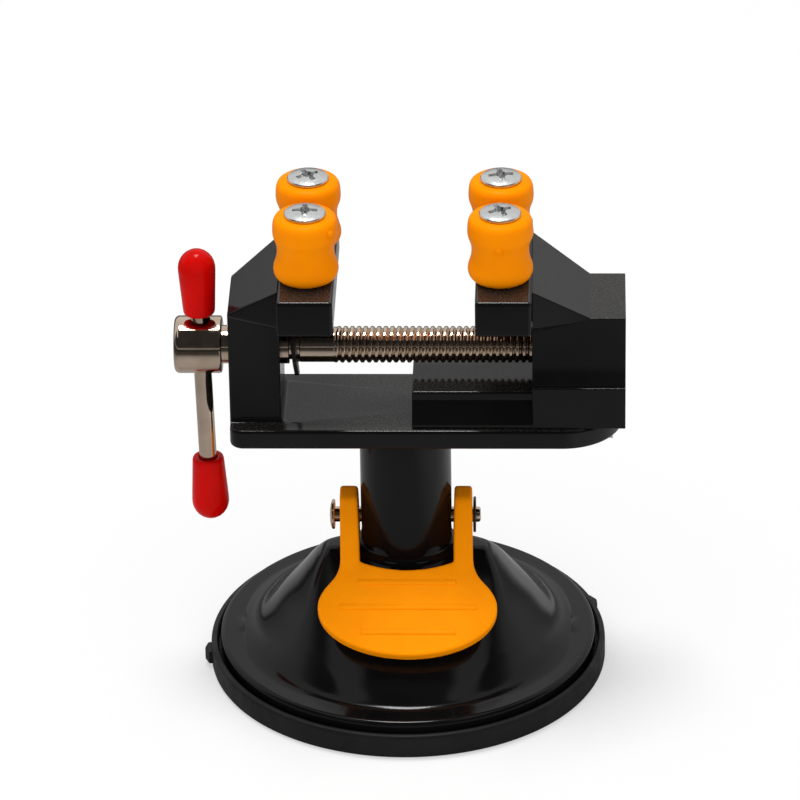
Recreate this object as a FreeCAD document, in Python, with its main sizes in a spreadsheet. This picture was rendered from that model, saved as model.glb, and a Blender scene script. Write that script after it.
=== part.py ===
import FreeCAD, Part
import math
import os
import Sketcher

# A small bench vise on a lever-operated suction base.
# Frame: millimetres, +Z up, origin on the floor under the middle of the base,
# the lead screw runs along X and the lever points to -Y.

Vector = FreeCAD.Vector

# ---------------------------------------------------------------- driving sizes

DIMENSIONS = [
    # suction cup, a rubber disc with a raised rim
    ("cup_radius", 37.7),
    ("cup_rim_height", 4.8),
    ("cup_rim_wall", 1.3),
    ("cup_web_top", 2.6),
    ("cup_sole_width", 4.0),
    ("cup_hollow_height", 2.4),
    ("cup_boss_radius", 11.0),
    ("cup_floor", 1.2),
    ("cup_lip", 1.8),
    ("cup_clearance", 0.4),
    ("cup_fit", 0.1),
    ("boss_fillet", 2.0),
    ("sole_chamfer", 0.6),
    ("rim_round", 0.7),
    ("rim_inner_drop", 0.4),
    ("tab_bottom", 1.0),
    ("tab_reach", 1.3),
    ("tab_width", 4.0),
    ("tab_height", 2.6),
    ("tab_turn", 22.0),
    ("tab_spread", 163.5),
    # base cover and post, one moulding
    ("cover_gap", 0.6),
    ("flange_width", 4.5),
    ("flange_height", 4.0),
    ("flange_round", 1.0),
    ("shoulder_height", 25.0),
    ("shoulder_radius", 13.6),
    ("hip_radius", 15.4),
    ("hip_drop", 0.7),
    ("ankle_radius", 27.8),
    ("ankle_drop", 16.3),
    ("facet_rise", 0.7),
    ("face_radius", 31.3),
    ("paddle_gap", 2.12),
    ("cover_wall", 2.2),
    ("hollow_margin", 0.2),
    ("post_radius", 8.6),
    ("post_rise", 26.3),
    ("post_wall", 2.3),
    ("post_web", 2.5),
    ("post_web_depth", 6.3),
    ("post_root", 4.0),
    ("post_chamfer", 0.4),
    ("seat_step", 0.1),
    ("guide_top_wall", 1.0),
    ("guide_length", 5.0),
    # stem, pin and lever
    ("stem_radius", 4.0),
    ("stem_head", 5.1),
    ("foot_radius", 8.0),
    ("foot_thick", 1.4),
    ("lift", 2.0),
    ("pin_radius", 1.45),
    ("pin_head_radius", 2.85),
    ("pin_head_thick", 1.0),
    ("pin_float", 1.0),
    ("clip_radius", 3.4),
    ("clip_thick", 0.5),
    ("clip_slit", 1.6),
    ("clip_gap", 0.2),
    ("clip_groove", 0.35),
    ("pin_tail", 0.9),
    ("arm_gap", 0.55),
    ("arm_thick", 3.35),
    ("arm_top_radius", 6.0),
    ("cam_radius", 5.45),
    ("cam_clearance", 0.45),
    ("cam_turn", 70.0),
    ("paddle_start", 12.5),
    ("paddle_start_drop", 4.9),
    ("paddle_slope", 37.6),
    ("paddle_length", 17.2),
    ("paddle_half_width", 16.85),
    ("paddle_widest", 7.5),
    ("arm_overlap", 4.0),
    ("paddle_thick", 2.6),
    ("paddle_throat_radius", 24.0),
    ("rib_height", 0.35),
    ("rib_width", 1.0),
    ("rib_pitch", 5.2),
    ("rib_half_length", 9.0),
    ("middle_rib_half_length", 12.15),
    ("paddle_root", 1.9),
    # vise body: base plate, fixed upright and its nose
    ("plate_left", 32.4),
    ("plate_right", 40.8),
    ("plate_half_width", 11.4),
    ("plate_thick", 3.9),
    ("plate_left_round", 2.5),
    ("plate_right_round", 11.2),
    ("upright_thick", 9.6),
    ("fixed_half_width", 7.7),
    ("flare_half_width", 12.2),
    ("wall_height", 29.7),
    ("flare_height", 7.5),
    ("fixed_slope_drop", 7.0),
    ("nose_length", 10.4),
    ("nose_half_width", 17.6),
    ("nose_thick", 7.2),
    ("nose_proud", 0.6),
    ("edge_round", 0.5),
    ("small_chamfer", 0.4),
    ("swivel_clearance", 0.1),
    # moving jaw
    ("jaw_length", 17.3),
    ("jaw_overhang", 0.5),
    ("jaw_half_width", 9.0),
    ("jaw_low_half_width", 10.4),
    ("jaw_block_height", 8.5),
    ("jaw_band_height", 4.2),
    ("slope_run", 10.7),
    ("moving_slope_drop", 7.1),
    ("shoe_length", 22.4),
    ("shoe_height", 6.7),
    ("shoe_toe", 0.8),
    ("shoe_top_half_width", 8.3),
    ("shoe_land", 1.7),
    ("shoe_half_width", 10.4),
    ("slide_clearance", 0.05),
    ("jaw_travel", 23.2),
    ("jaw_back_travel", 1.0),
    ("key_inset", 5.3),
    ("key_width", 4.2),
    ("keeper_length", 6.0),
    ("keeper_width", 9.0),
    ("keeper_thick", 1.2),
    ("keeper_screw_radius", 1.15),
    ("keeper_head_radius", 2.2),
    ("keeper_head_height", 1.6),
    ("keeper_screw_length", 9.0),
    # lead screw, hub, clip and handle
    ("screw_rise", 12.3),
    ("thread_radius", 3.7),
    ("thread_pitch", 1.25),
    ("thread_depth", 0.77),
    ("thread_gap", 10.0),
    ("thread_inset", 2.8),
    ("shaft_radius", 3.3),
    ("neck_radius", 3.6),
    ("neck_proud", 1.5),
    ("groove_radius", 2.8),
    ("groove_width", 1.9),
    ("running_clearance", 0.06),
    ("hole_clearance", 0.2),
    ("tenon_radius", 2.6),
    ("tenon_length", 3.4),
    ("hub_radius", 5.4),
    ("hub_length", 8.9),
    ("hub_gap", 0.1),
    ("hub_collar", 1.4),
    ("hub_collar_radius", 3.6),
    ("hub_round", 0.8),
    ("cap_seat_gap", 1.3),
    ("snap_slit", 3.64),
    ("snap_radius", 5.5),
    ("snap_thick", 0.85),
    ("bar_radius", 1.65),
    ("bar_clearance", 0.2),
    ("bar_from_end", 4.95),
    ("bar_lean", 1.4),
    ("cap_length", 13.1),
    ("cap_mouth_radius", 2.98),
    ("cap_dome_radius", 3.5),
    ("cap_depth", 9.0),
    ("bar_free_length", 30.65),
    # soft pegs and their screws
    ("fixed_peg_inset", 5.17),
    ("moving_peg_inset", 4.6),
    ("peg_spacing", 7.2),
    ("peg_height", 12.75),
    ("peg_foot_radius", 5.4),
    ("peg_bulge_radius", 6.05),
    ("peg_waist_radius", 5.3),
    ("peg_rim_radius", 5.5),
    ("peg_rim_step", 0.9),
    ("peg_foot_round", 1.6),
    ("peg_head_round", 2.2),
    ("peg_clearance", 0.1),
    ("peg_screw_radius", 2.0),
    ("peg_screw_reach", 5.0),
    ("peg_head_radius", 3.85),
    ("peg_head_rim", 0.55),
    ("peg_head_height", 1.1),
    ("cross_length", 4.7),
    ("cross_width", 1.0),
    ("cross_depth", 0.9),
    # screw and washer that hold the vise on the post
    ("post_screw_radius", 2.0),
    ("post_screw_head_radius", 3.6),
    ("post_screw_head_height", 2.4),
    ("post_screw_reach", 5.0),
    ("blind_gap", 0.5),
    ("post_washer_radius", 4.6),
    ("post_washer_thick", 0.8),
]

SHEET = "Sizes"


class Size:
    """A number together with the sheet expression that it comes from."""

    def __init__(self, value, text):
        self.value = value
        self.text = text

    def __add__(self, other):
        other = as_size(other)
        return Size(self.value + other.value, f"({self.text} + {other.text})")

    def __sub__(self, other):
        other = as_size(other)
        return Size(self.value - other.value, f"({self.text} - {other.text})")

    def __mul__(self, other):
        other = as_size(other)
        return Size(self.value * other.value, f"({self.text} * {other.text})")

    def __truediv__(self, other):
        other = as_size(other)
        return Size(self.value / other.value, f"({self.text} / {other.text})")

    def __neg__(self):
        return Size(-self.value, f"(-1 * {self.text})")

    __radd__ = __add__
    __rmul__ = __mul__

    def __rsub__(self, other):
        return as_size(other) - self


def as_size(value):
    return value if isinstance(value, Size) else Size(float(value), f"({value})")


def root(value):
    return Size(math.sqrt(value.value), f"sqrt({value.text})")


class Dimensions:
    """Attribute access to the sheet's cells, each as a Size."""

    def __init__(self, rows):
        self.sheet = doc.addObject("Spreadsheet::Sheet", SHEET)
        for row, (name, value) in enumerate(rows, start=1):
            self.sheet.set(f"A{row}", name)
            self.sheet.set(f"B{row}", str(value))
            self.sheet.setAlias(f"B{row}", name)
            setattr(self, name, Size(float(value), f"{SHEET}.{name}"))


doc = FreeCAD.newDocument("suction_base_vise")
d = Dimensions(DIMENSIONS)
doc.recompute()

# ---------------------------------------------------------------- drawing helpers


def new_body(label):
    body = doc.addObject("PartDesign::Body", "body_" + label)
    body.Label = label
    return body


def bind(item, prop, size):
    """Set a property from an expression of the sheet."""
    item.setExpression(prop, as_size(size).text)


def place_body(body, x=0, y=0, z=0, axis=None, angle=0):
    if axis is not None:
        body.Placement = FreeCAD.Placement(Vector(0, 0, 0), FreeCAD.Rotation(axis, angle))
    for name, value in (("x", x), ("y", y), ("z", z)):
        bind(body, f"Placement.Base.{name}", value)


def new_sketch(body, name, plane, offset=0):
    """An empty sketch on one of the body's origin planes, moved along its normal."""
    sketch = body.newObject("Sketcher::SketchObject", f"{body.Label}_{name}")
    support = [item for item in body.Origin.OriginFeatures if item.Role == plane][0]
    sketch.AttachmentSupport = [(support, "")]
    sketch.MapMode = "FlatFace"
    bind(sketch, "AttachmentOffset.Base.z", offset)
    return sketch


def tilted_sketch(body, name, y, z, slope):
    """An empty sketch whose plane passes through (y, z) and leans about X by the slope."""
    sketch = new_sketch(body, name, "XY_Plane")
    sketch.AttachmentOffset = FreeCAD.Placement(
        Vector(0, 0, 0), FreeCAD.Rotation(AXIS_X, slope.value))
    bind(sketch, "AttachmentOffset.Base.y", y)
    bind(sketch, "AttachmentOffset.Base.z", z)
    bind(sketch, "AttachmentOffset.Rotation.Angle", slope)
    return sketch


def add_outline(sketch, points):
    """Draw a closed outline and tie each corner to the sheet.

    A point is (x, y) or (x, y, radius, side): with a radius, the stretch to the next
    point is an arc that bulges to the right (side +1) or left (side -1) of the way there.
    """
    corners = [(as_size(p[0]), as_size(p[1])) for p in points]
    first = sketch.GeometryCount
    count = len(points)
    for index, point in enumerate(points):
        start = Vector(corners[index][0].value, corners[index][1].value, 0)
        after = corners[(index + 1) % count]
        end = Vector(after[0].value, after[1].value, 0)
        if len(point) == 2:
            sketch.addGeometry(Part.LineSegment(start, end), False)
            continue
        radius, side = as_size(point[2]), point[3]
        half = (end - start) * 0.5
        across = Vector(half.y, -half.x, 0).normalize()
        rise = math.sqrt(max(radius.value ** 2 - half.Length ** 2, 0.0))
        centre = start + half - across * rise * side
        middle = centre + across * radius.value * side
        # an arc is always drawn anticlockwise, so one that bulges left runs backwards
        arc = Part.Arc(start, middle, end) if side > 0 else Part.Arc(end, middle, start)
        sketch.addGeometry(arc, False)
    tie_corners(sketch, points, corners, first)


def tie_corners(sketch, points, corners, first):
    """Join the stretches end to end and bind their corners and radii."""
    count = len(points)
    starts = []
    for index, point in enumerate(points):
        forward = len(point) == 2 or point[3] > 0
        starts.append((first + index, 1 if forward else 2, 2 if forward else 1))
    for index in range(count):
        here, after = starts[index], starts[(index + 1) % count]
        sketch.addConstraint(Sketcher.Constraint("Coincident", here[0], here[2], after[0], after[1]))
    for index in range(count):
        geometry, corner, _ = starts[index]
        for kind, size in (("DistanceX", corners[index][0]), ("DistanceY", corners[index][1])):
            number = sketch.addConstraint(
                Sketcher.Constraint(kind, -1, 1, geometry, corner, size.value))
            bind(sketch, f"Constraints[{number}]", size)
        if len(points[index]) > 2:
            radius = as_size(points[index][2])
            number = sketch.addConstraint(Sketcher.Constraint("Radius", geometry, radius.value))
            bind(sketch, f"Constraints[{number}]", radius)


def add_circle(sketch, x, y, radius):
    x, y, radius = as_size(x), as_size(y), as_size(radius)
    index = sketch.addGeometry(
        Part.Circle(Vector(x.value, y.value, 0), Vector(0, 0, 1), radius.value), False)
    for kind, size in (("DistanceX", x), ("DistanceY", y)):
        number = sketch.addConstraint(Sketcher.Constraint(kind, -1, 1, index, 3, size.value))
        bind(sketch, f"Constraints[{number}]", size)
    number = sketch.addConstraint(Sketcher.Constraint("Radius", index, radius.value))
    bind(sketch, f"Constraints[{number}]", radius)


def box_outline(x_low, x_high, y_low, y_high):
    return [(x_low, y_low), (x_high, y_low), (x_high, y_high), (x_low, y_high)]


def feature(body, kind, name, sketch):
    item = body.newObject("PartDesign::" + kind, f"{body.Label}_{name}")
    item.Profile = sketch
    sketch.Visibility = False
    return item


def pad(body, name, sketch, length, symmetric=False, reverse=False):
    item = feature(body, "Pad", name, sketch)
    item.SideType = "Symmetric" if symmetric else "One side"
    item.Reversed = reverse
    bind(item, "Length", length)
    return item


def pocket(body, name, sketch, length, symmetric=False, reverse=False):
    """Cut away and make sure that the cut met the solid."""
    doc.recompute()
    before = body.Tip.Shape.Volume
    item = feature(body, "Pocket", name, sketch)
    item.SideType = "Symmetric" if symmetric else "One side"
    item.Reversed = reverse
    bind(item, "Length", length)
    doc.recompute()
    if not item.Shape.Volume < before:
        raise RuntimeError(f"{item.Name} cuts nothing")
    return item


def turn(body, name, outline, kind="Revolution", axis="V_Axis"):
    """Revolve an outline of the XZ plane, about the upright axis unless told otherwise."""
    sketch = new_sketch(body, name + "_outline", "XZ_Plane")
    add_outline(sketch, outline)
    doc.recompute()
    before = body.Tip.Shape.Volume if body.Tip else 0.0
    item = feature(body, kind, name, sketch)
    item.ReferenceAxis = (sketch, [axis])
    item.Angle = 360
    doc.recompute()
    if kind == "Groove" and not item.Shape.Volume < before:
        raise RuntimeError(f"{item.Name} cuts nothing")
    return item


def turned_body(label, outline, axis="V_Axis"):
    body = new_body(label)
    turn(body, "turned", outline, axis=axis)
    return body


def round_edges(body, name, radius, wanted):
    """Fillet the edges of the tip for which wanted(edge) is true."""
    doc.recompute()
    base = body.Tip
    names = [f"Edge{i}" for i, edge in enumerate(base.Shape.Edges, start=1) if wanted(edge)]
    item = body.newObject("PartDesign::Fillet", f"{body.Label}_{name}")
    item.Base = (base, names)
    bind(item, "Radius", radius)
    doc.recompute()
    return item


def is_line(edge, axis):
    """True for a straight edge along X, Y or Z."""
    if edge.Curve.TypeId != "Part::GeomLine":
        return False
    return abs(abs(edge.Curve.Direction.dot(axis)) - 1) < 1e-6


AXIS_X = Vector(1, 0, 0)
AXIS_Y = Vector(0, 1, 0)
AXIS_Z = Vector(0, 0, 1)


def near(value, size):
    return abs(value - as_size(size).value) < 1e-4


# ---------------------------------------------------------------- derived places

post_height = d.shoulder_height + d.post_rise
plate_bottom = post_height
plate_top = plate_bottom + d.plate_thick
wall_top = plate_top + d.wall_height
flare_bottom = wall_top - d.flare_height
fixed_low_top = wall_top - d.fixed_slope_drop
moving_low_top = wall_top - d.moving_slope_drop
nose_top = wall_top + d.nose_proud
nose_bottom = nose_top - d.nose_thick
shoe_top = plate_top + d.shoe_height
screw_height = plate_top + d.screw_rise
# along X: the upright ends at minus fixed_wall, and the open jaw stands out past the plate's end
fixed_wall = d.plate_left - d.upright_thick
jaw_right = d.plate_right + d.jaw_overhang
jaw_block_top = plate_top + d.jaw_block_height
moving_wall = jaw_right - d.jaw_length
slope_end = moving_wall + d.slope_run
shoe_left = moving_wall - d.shoe_length
key_place = jaw_right - d.key_inset
neck_end = fixed_wall - d.neck_proud
thread_start = fixed_wall - d.thread_gap
thread_end = jaw_right - d.thread_inset
screw_bore = d.thread_radius + d.running_clearance
cover_radius = d.cup_radius - d.cup_rim_wall - d.cover_gap
flank_radius = cover_radius - d.flange_width
flange_top = d.cup_web_top + d.flange_height
arm_inside = d.post_radius + d.arm_gap
arm_outside = arm_inside + d.arm_thick
pin_height = d.shoulder_height + d.cam_clearance + d.cam_radius
clip_left = arm_outside + d.clip_gap
foot_cavity_floor = d.cup_hollow_height + d.cup_floor
foot_bottom = foot_cavity_floor + d.lift + d.cup_clearance
foot_top = foot_bottom + d.foot_thick
stem_bore = d.stem_radius + d.running_clearance * 2
web_bottom = post_height - d.post_web_depth
web_top = web_bottom + d.post_web
post_bore = d.post_radius - d.post_wall
paddle_run = Size(math.cos(math.radians(d.paddle_slope.value)), f"cos({d.paddle_slope.text})")
paddle_fall = Size(math.sin(math.radians(d.paddle_slope.value)), f"sin({d.paddle_slope.text})")
paddle_top = pin_height - d.paddle_start_drop
# the underside of the paddle's tip, which the cover's front face stays clear of
tip_y = -d.paddle_start - d.paddle_length * paddle_run + d.paddle_thick * paddle_fall
tip_z = paddle_top - d.paddle_length * paddle_fall - d.paddle_thick * paddle_run
face_foot = -tip_y + (tip_z - d.paddle_gap - flange_top) / d.facet_rise
hub_left = d.plate_left + d.hub_gap + d.hub_collar + d.hub_length
bar_place = -hub_left + d.bar_from_end
bar_bore = d.bar_radius + d.bar_clearance

# ---------------------------------------------------------------- suction base


def make_suction_cup():
    body = new_body("suction_cup")
    rim_inside = d.cup_radius - d.cup_rim_wall
    cavity = d.foot_radius + d.cup_clearance
    ceiling = foot_top + d.cup_fit
    hole = d.stem_radius + d.cup_clearance
    turn(body, "disc", [
        (0, d.cup_hollow_height),
        (d.cup_boss_radius, d.cup_hollow_height),
        (d.cup_radius - d.cup_sole_width, 0),
        (d.cup_radius - d.sole_chamfer, 0),
        (d.cup_radius, d.sole_chamfer),
        (d.cup_radius, d.cup_rim_height - d.rim_round, d.rim_round, 1),
        (d.cup_radius - d.rim_round, d.cup_rim_height),
        (rim_inside, d.cup_rim_height - d.rim_inner_drop),
        (rim_inside, d.cup_web_top),
        (flank_radius, d.cup_web_top),
        (d.cup_boss_radius + d.boss_fillet, d.cup_web_top + d.cup_floor),
        (d.cup_boss_radius, d.cup_web_top + d.cup_floor + d.boss_fillet / 2),
        (d.cup_boss_radius, ceiling + d.cup_lip),
        (hole, ceiling + d.cup_lip),
        (hole, ceiling),
        (cavity, ceiling),
        (cavity, foot_cavity_floor),
        (0, foot_cavity_floor),
    ])
    # each tab is a blunt arrow, its shoulders a little short of its point
    tab = new_sketch(body, "tab_outline", "XY_Plane", d.tab_bottom)
    inner = d.cup_radius - d.rim_round
    shoulder = d.cup_radius + d.tab_reach * 0.6
    add_outline(tab, [
        (inner, -(d.tab_width / 2)),
        (shoulder, -(d.tab_width / 2)),
        (d.cup_radius + d.tab_reach, 0),
        (shoulder, d.tab_width / 2),
        (inner, d.tab_width / 2),
    ])
    tab_pad = pad(body, "tab", tab, d.tab_height)
    doc.recompute()
    both = body.newObject("PartDesign::PolarPattern", "suction_cup_tabs")
    both.Originals = [tab_pad]
    both.Axis = (tab, ["N_Axis"])
    bind(both, "Angle", d.tab_spread)
    both.Occurrences = 2
    body.Tip = both
    body.Placement.Rotation = FreeCAD.Rotation(AXIS_Z, d.tab_turn.value)
    bind(body, "Placement.Rotation.Angle", d.tab_turn)
    return body


# share of the face's radius, measured from its middle, where a sloping face's outline starts
FACE_START = Size(0.2, "(0.2)")


def make_base_cover():
    body = new_body("base_cover")
    turn(body, "dome", [
        (0, d.cup_web_top),
        (cover_radius, d.cup_web_top),
        (cover_radius, flange_top - d.flange_round, d.flange_round, 1),
        (cover_radius - d.flange_round, flange_top),
        (flank_radius, flange_top),
        (d.ankle_radius, d.shoulder_height - d.ankle_drop),
        (d.hip_radius, d.shoulder_height - d.hip_drop),
        (d.shoulder_radius, d.shoulder_height),
        (0, d.shoulder_height),
    ])
    # front and back faces rise from the flange at a slope that clears the paddle
    for name, side in (("front_face", -1), ("back_face", 1)):
        sketch = new_sketch(body, name + "_outline", "XY_Plane", flange_top)
        far = cover_radius * 2
        reach = root(1 - FACE_START * FACE_START) * d.face_radius
        start = (face_foot - d.face_radius + d.face_radius * FACE_START) * side
        add_outline(sketch, [
            (far, start),
            (far, far * side),
            (-far, far * side),
            (-far, start),
            (-reach, start, d.face_radius, -side),
            (reach, start),
        ])
        doc.recompute()
        before = body.Tip.Shape.Volume
        cut = feature(body, "Pocket", name, sketch)
        cut.UseCustomVector = True
        cut.AlongSketchNormal = False
        cut.Direction = Vector(0, -side, d.facet_rise.value)
        slope_length = root(d.facet_rise * d.facet_rise + 1) / d.facet_rise
        bind(cut, "Length", (d.shoulder_height - flange_top) * slope_length)
        doc.recompute()
        if not cut.Shape.Volume < before:
            raise RuntimeError(f"{cut.Name} cuts nothing")
    turn(body, "post", [
        (0, d.shoulder_height - d.post_root),
        (d.post_radius, d.shoulder_height - d.post_root),
        (d.post_radius, post_height - d.post_chamfer),
        (d.post_radius - d.post_chamfer, post_height),
        (0, post_height),
    ])
    # one hollow from below: the dome's inside, the stem guide, the post and the spigot seat
    guide_top = d.shoulder_height - d.guide_top_wall
    seat_bore = post_bore + d.seat_step
    screw_hole = d.post_screw_radius + d.hole_clearance
    guide_bottom = guide_top - d.guide_length
    turn(body, "hollow", [
        (0, d.cup_web_top),
        (flank_radius + d.hollow_margin, d.cup_web_top),
        (flank_radius - d.cover_wall, d.cup_web_top + d.cover_wall),
        (d.post_radius, guide_bottom),
        (stem_bore, guide_bottom),
        (stem_bore, guide_top),
        (post_bore, guide_top),
        (post_bore, web_bottom),
        (screw_hole, web_bottom),
        (screw_hole, web_top),
        (seat_bore, web_top),
        (seat_bore, post_height),
        (0, post_height),
    ], kind="Groove")
    slot = new_sketch(body, "pin_slot_outline", "YZ_Plane")
    half = d.pin_radius + d.swivel_clearance
    low = pin_height - d.lift
    add_outline(slot, box_outline(-half, half, low - half, pin_height + half))
    pocket(body, "pin_slot", slot, d.post_radius * 2 + 2, symmetric=True)
    return body


def make_suction_stem():
    stem_top = pin_height + d.stem_head
    body = turned_body("suction_stem", [
        (0, foot_bottom),
        (d.foot_radius - d.small_chamfer, foot_bottom),
        (d.foot_radius, foot_bottom + d.small_chamfer),
        (d.foot_radius, foot_top),
        (d.stem_radius, foot_top),
        (d.stem_radius, stem_top - d.small_chamfer),
        (d.stem_radius - d.small_chamfer, stem_top),
        (0, stem_top),
    ])
    hole = new_sketch(body, "pin_hole_outline", "YZ_Plane")
    add_circle(hole, 0, pin_height, d.pin_radius + d.running_clearance)
    pocket(body, "pin_hole", hole, d.stem_radius * 2 + 2, symmetric=True)
    return body


def make_pivot_pin():
    head_inside = -(arm_outside + d.pin_float)
    clip_right = clip_left + d.clip_thick
    end = clip_right + d.pin_tail
    groove = d.pin_radius - d.clip_groove
    body = turned_body("pivot_pin", [
        (head_inside - d.pin_head_thick, 0),
        (head_inside - d.pin_head_thick, d.pin_head_radius - d.small_chamfer),
        (head_inside - d.pin_head_thick + d.small_chamfer, d.pin_head_radius),
        (head_inside, d.pin_head_radius),
        (head_inside, d.pin_radius),
        (clip_left, d.pin_radius),
        (clip_left, groove),
        (clip_right, groove),
        (clip_right, d.pin_radius),
        (end - d.small_chamfer, d.pin_radius),
        (end, d.pin_radius - d.small_chamfer),
        (end, 0),
    ], axis="H_Axis")
    place_body(body, z=pin_height)
    return body


def make_slit_ring(label, plane_offset, outer, inner, thick, slit):
    """A flat spring clip: a ring across X with a slit that opens downwards."""
    body = new_body(label)
    ring = new_sketch(body, "ring_outline", "YZ_Plane", plane_offset)
    add_circle(ring, 0, 0, outer)
    add_circle(ring, 0, 0, inner)
    pad(body, "ring", ring, thick)
    gap = new_sketch(body, "slit_outline", "YZ_Plane", plane_offset)
    add_outline(gap, box_outline(-(slit / 2), slit / 2, -(outer + 1), -(inner * 0.5)))
    pocket(body, "slit", gap, thick * 2 + 1, symmetric=True)
    return body


def make_pin_clip():
    body = make_slit_ring("pin_clip", clip_left, d.clip_radius, d.pin_radius - d.clip_groove,
                          d.clip_thick, d.clip_slit)
    place_body(body, z=pin_height)
    return body


def make_suction_lever():
    """A forked lever: two arms with cams at their ends, joined by a sloping paddle."""
    body = new_body("suction_lever")
    # side outline of an arm in the YZ plane, y towards the back
    paddle_y = -d.paddle_start
    under_y = paddle_y + d.paddle_thick * paddle_fall
    under_z = paddle_top - d.paddle_thick * paddle_run
    overlap = d.arm_overlap
    outline = [
        (0, pin_height + d.arm_top_radius),
        (-(d.arm_top_radius * 0.6), pin_height + d.arm_top_radius * 0.8),
        (paddle_y, paddle_top),
        (paddle_y - overlap * paddle_run, paddle_top - overlap * paddle_fall),
        (under_y - overlap * paddle_run, under_z - overlap * paddle_fall),
        (under_y, under_z),
        (-(d.cam_radius * 1.4), pin_height - d.cam_radius),
        (0, pin_height - d.cam_radius),
    ]
    # the cam's radius shrinks evenly towards the back, so that raising the lever lets go
    steps = 8
    turn_angle = math.radians(d.cam_turn.value)
    for step in range(1, steps + 1):
        angle = turn_angle * step / steps
        radius = d.cam_radius - d.lift * (step / steps)
        outline.append((radius * math.sin(angle), pin_height - radius * math.cos(angle)))
    outline.append((d.arm_top_radius * 0.55, pin_height + d.arm_top_radius * 0.8))
    for name, side in (("right_arm", 1), ("left_arm", -1)):
        sketch = new_sketch(body, name + "_outline", "YZ_Plane", arm_inside * side)
        add_outline(sketch, outline)
        pad(body, name, sketch, d.arm_thick, reverse=side < 0)
        if side > 0:
            paddle = tilted_sketch(body, "paddle_outline", paddle_y, paddle_top, d.paddle_slope)
            add_outline(paddle, paddle_outline())
            pad(body, "paddle", paddle, d.paddle_thick, reverse=True)
    rib = tilted_sketch(body, "rib_outline", paddle_y, paddle_top, d.paddle_slope)
    for place, half_length in ((-1, d.rib_half_length),
                               (0, d.middle_rib_half_length),
                               (1, d.rib_half_length)):
        middle = -(d.paddle_widest + d.rib_pitch * place)
        add_outline(rib, box_outline(-half_length, half_length,
                                     middle - d.rib_width / 2, middle + d.rib_width / 2))
    pad(body, "ribs", rib, d.rib_height)
    hole = new_sketch(body, "pin_hole_outline", "YZ_Plane")
    add_circle(hole, 0, pin_height, d.pin_radius + d.running_clearance)
    pocket(body, "pin_hole", hole, arm_outside * 2 + 2, symmetric=True)
    return body


def paddle_outline():
    """The paddle seen square on: a half ellipse below, a blend up to the arms above."""
    steps = 14
    points = []
    ahead = d.paddle_length - d.paddle_widest
    for step in range(steps + 1):
        angle = math.pi * step / steps
        points.append((d.paddle_half_width * math.cos(angle),
                       -(d.paddle_widest + ahead * math.sin(angle))))
    # shares of the half width and of the widest place's distance, going up one side
    shoulders = [(0.955, 0.58), (0.865, 0.34), (0.785, 0.1)]
    for across, along in shoulders:
        points.append((-(d.paddle_half_width * across), -(d.paddle_widest * along)))
    points += [
        (-arm_outside, d.paddle_root),
        (-arm_inside, d.paddle_root, d.paddle_throat_radius, 1),
        (arm_inside, d.paddle_root),
        (arm_outside, d.paddle_root),
    ]
    for across, along in reversed(shoulders):
        points.append((d.paddle_half_width * across, -(d.paddle_widest * along)))
    return points


# ---------------------------------------------------------------- vise


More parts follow.
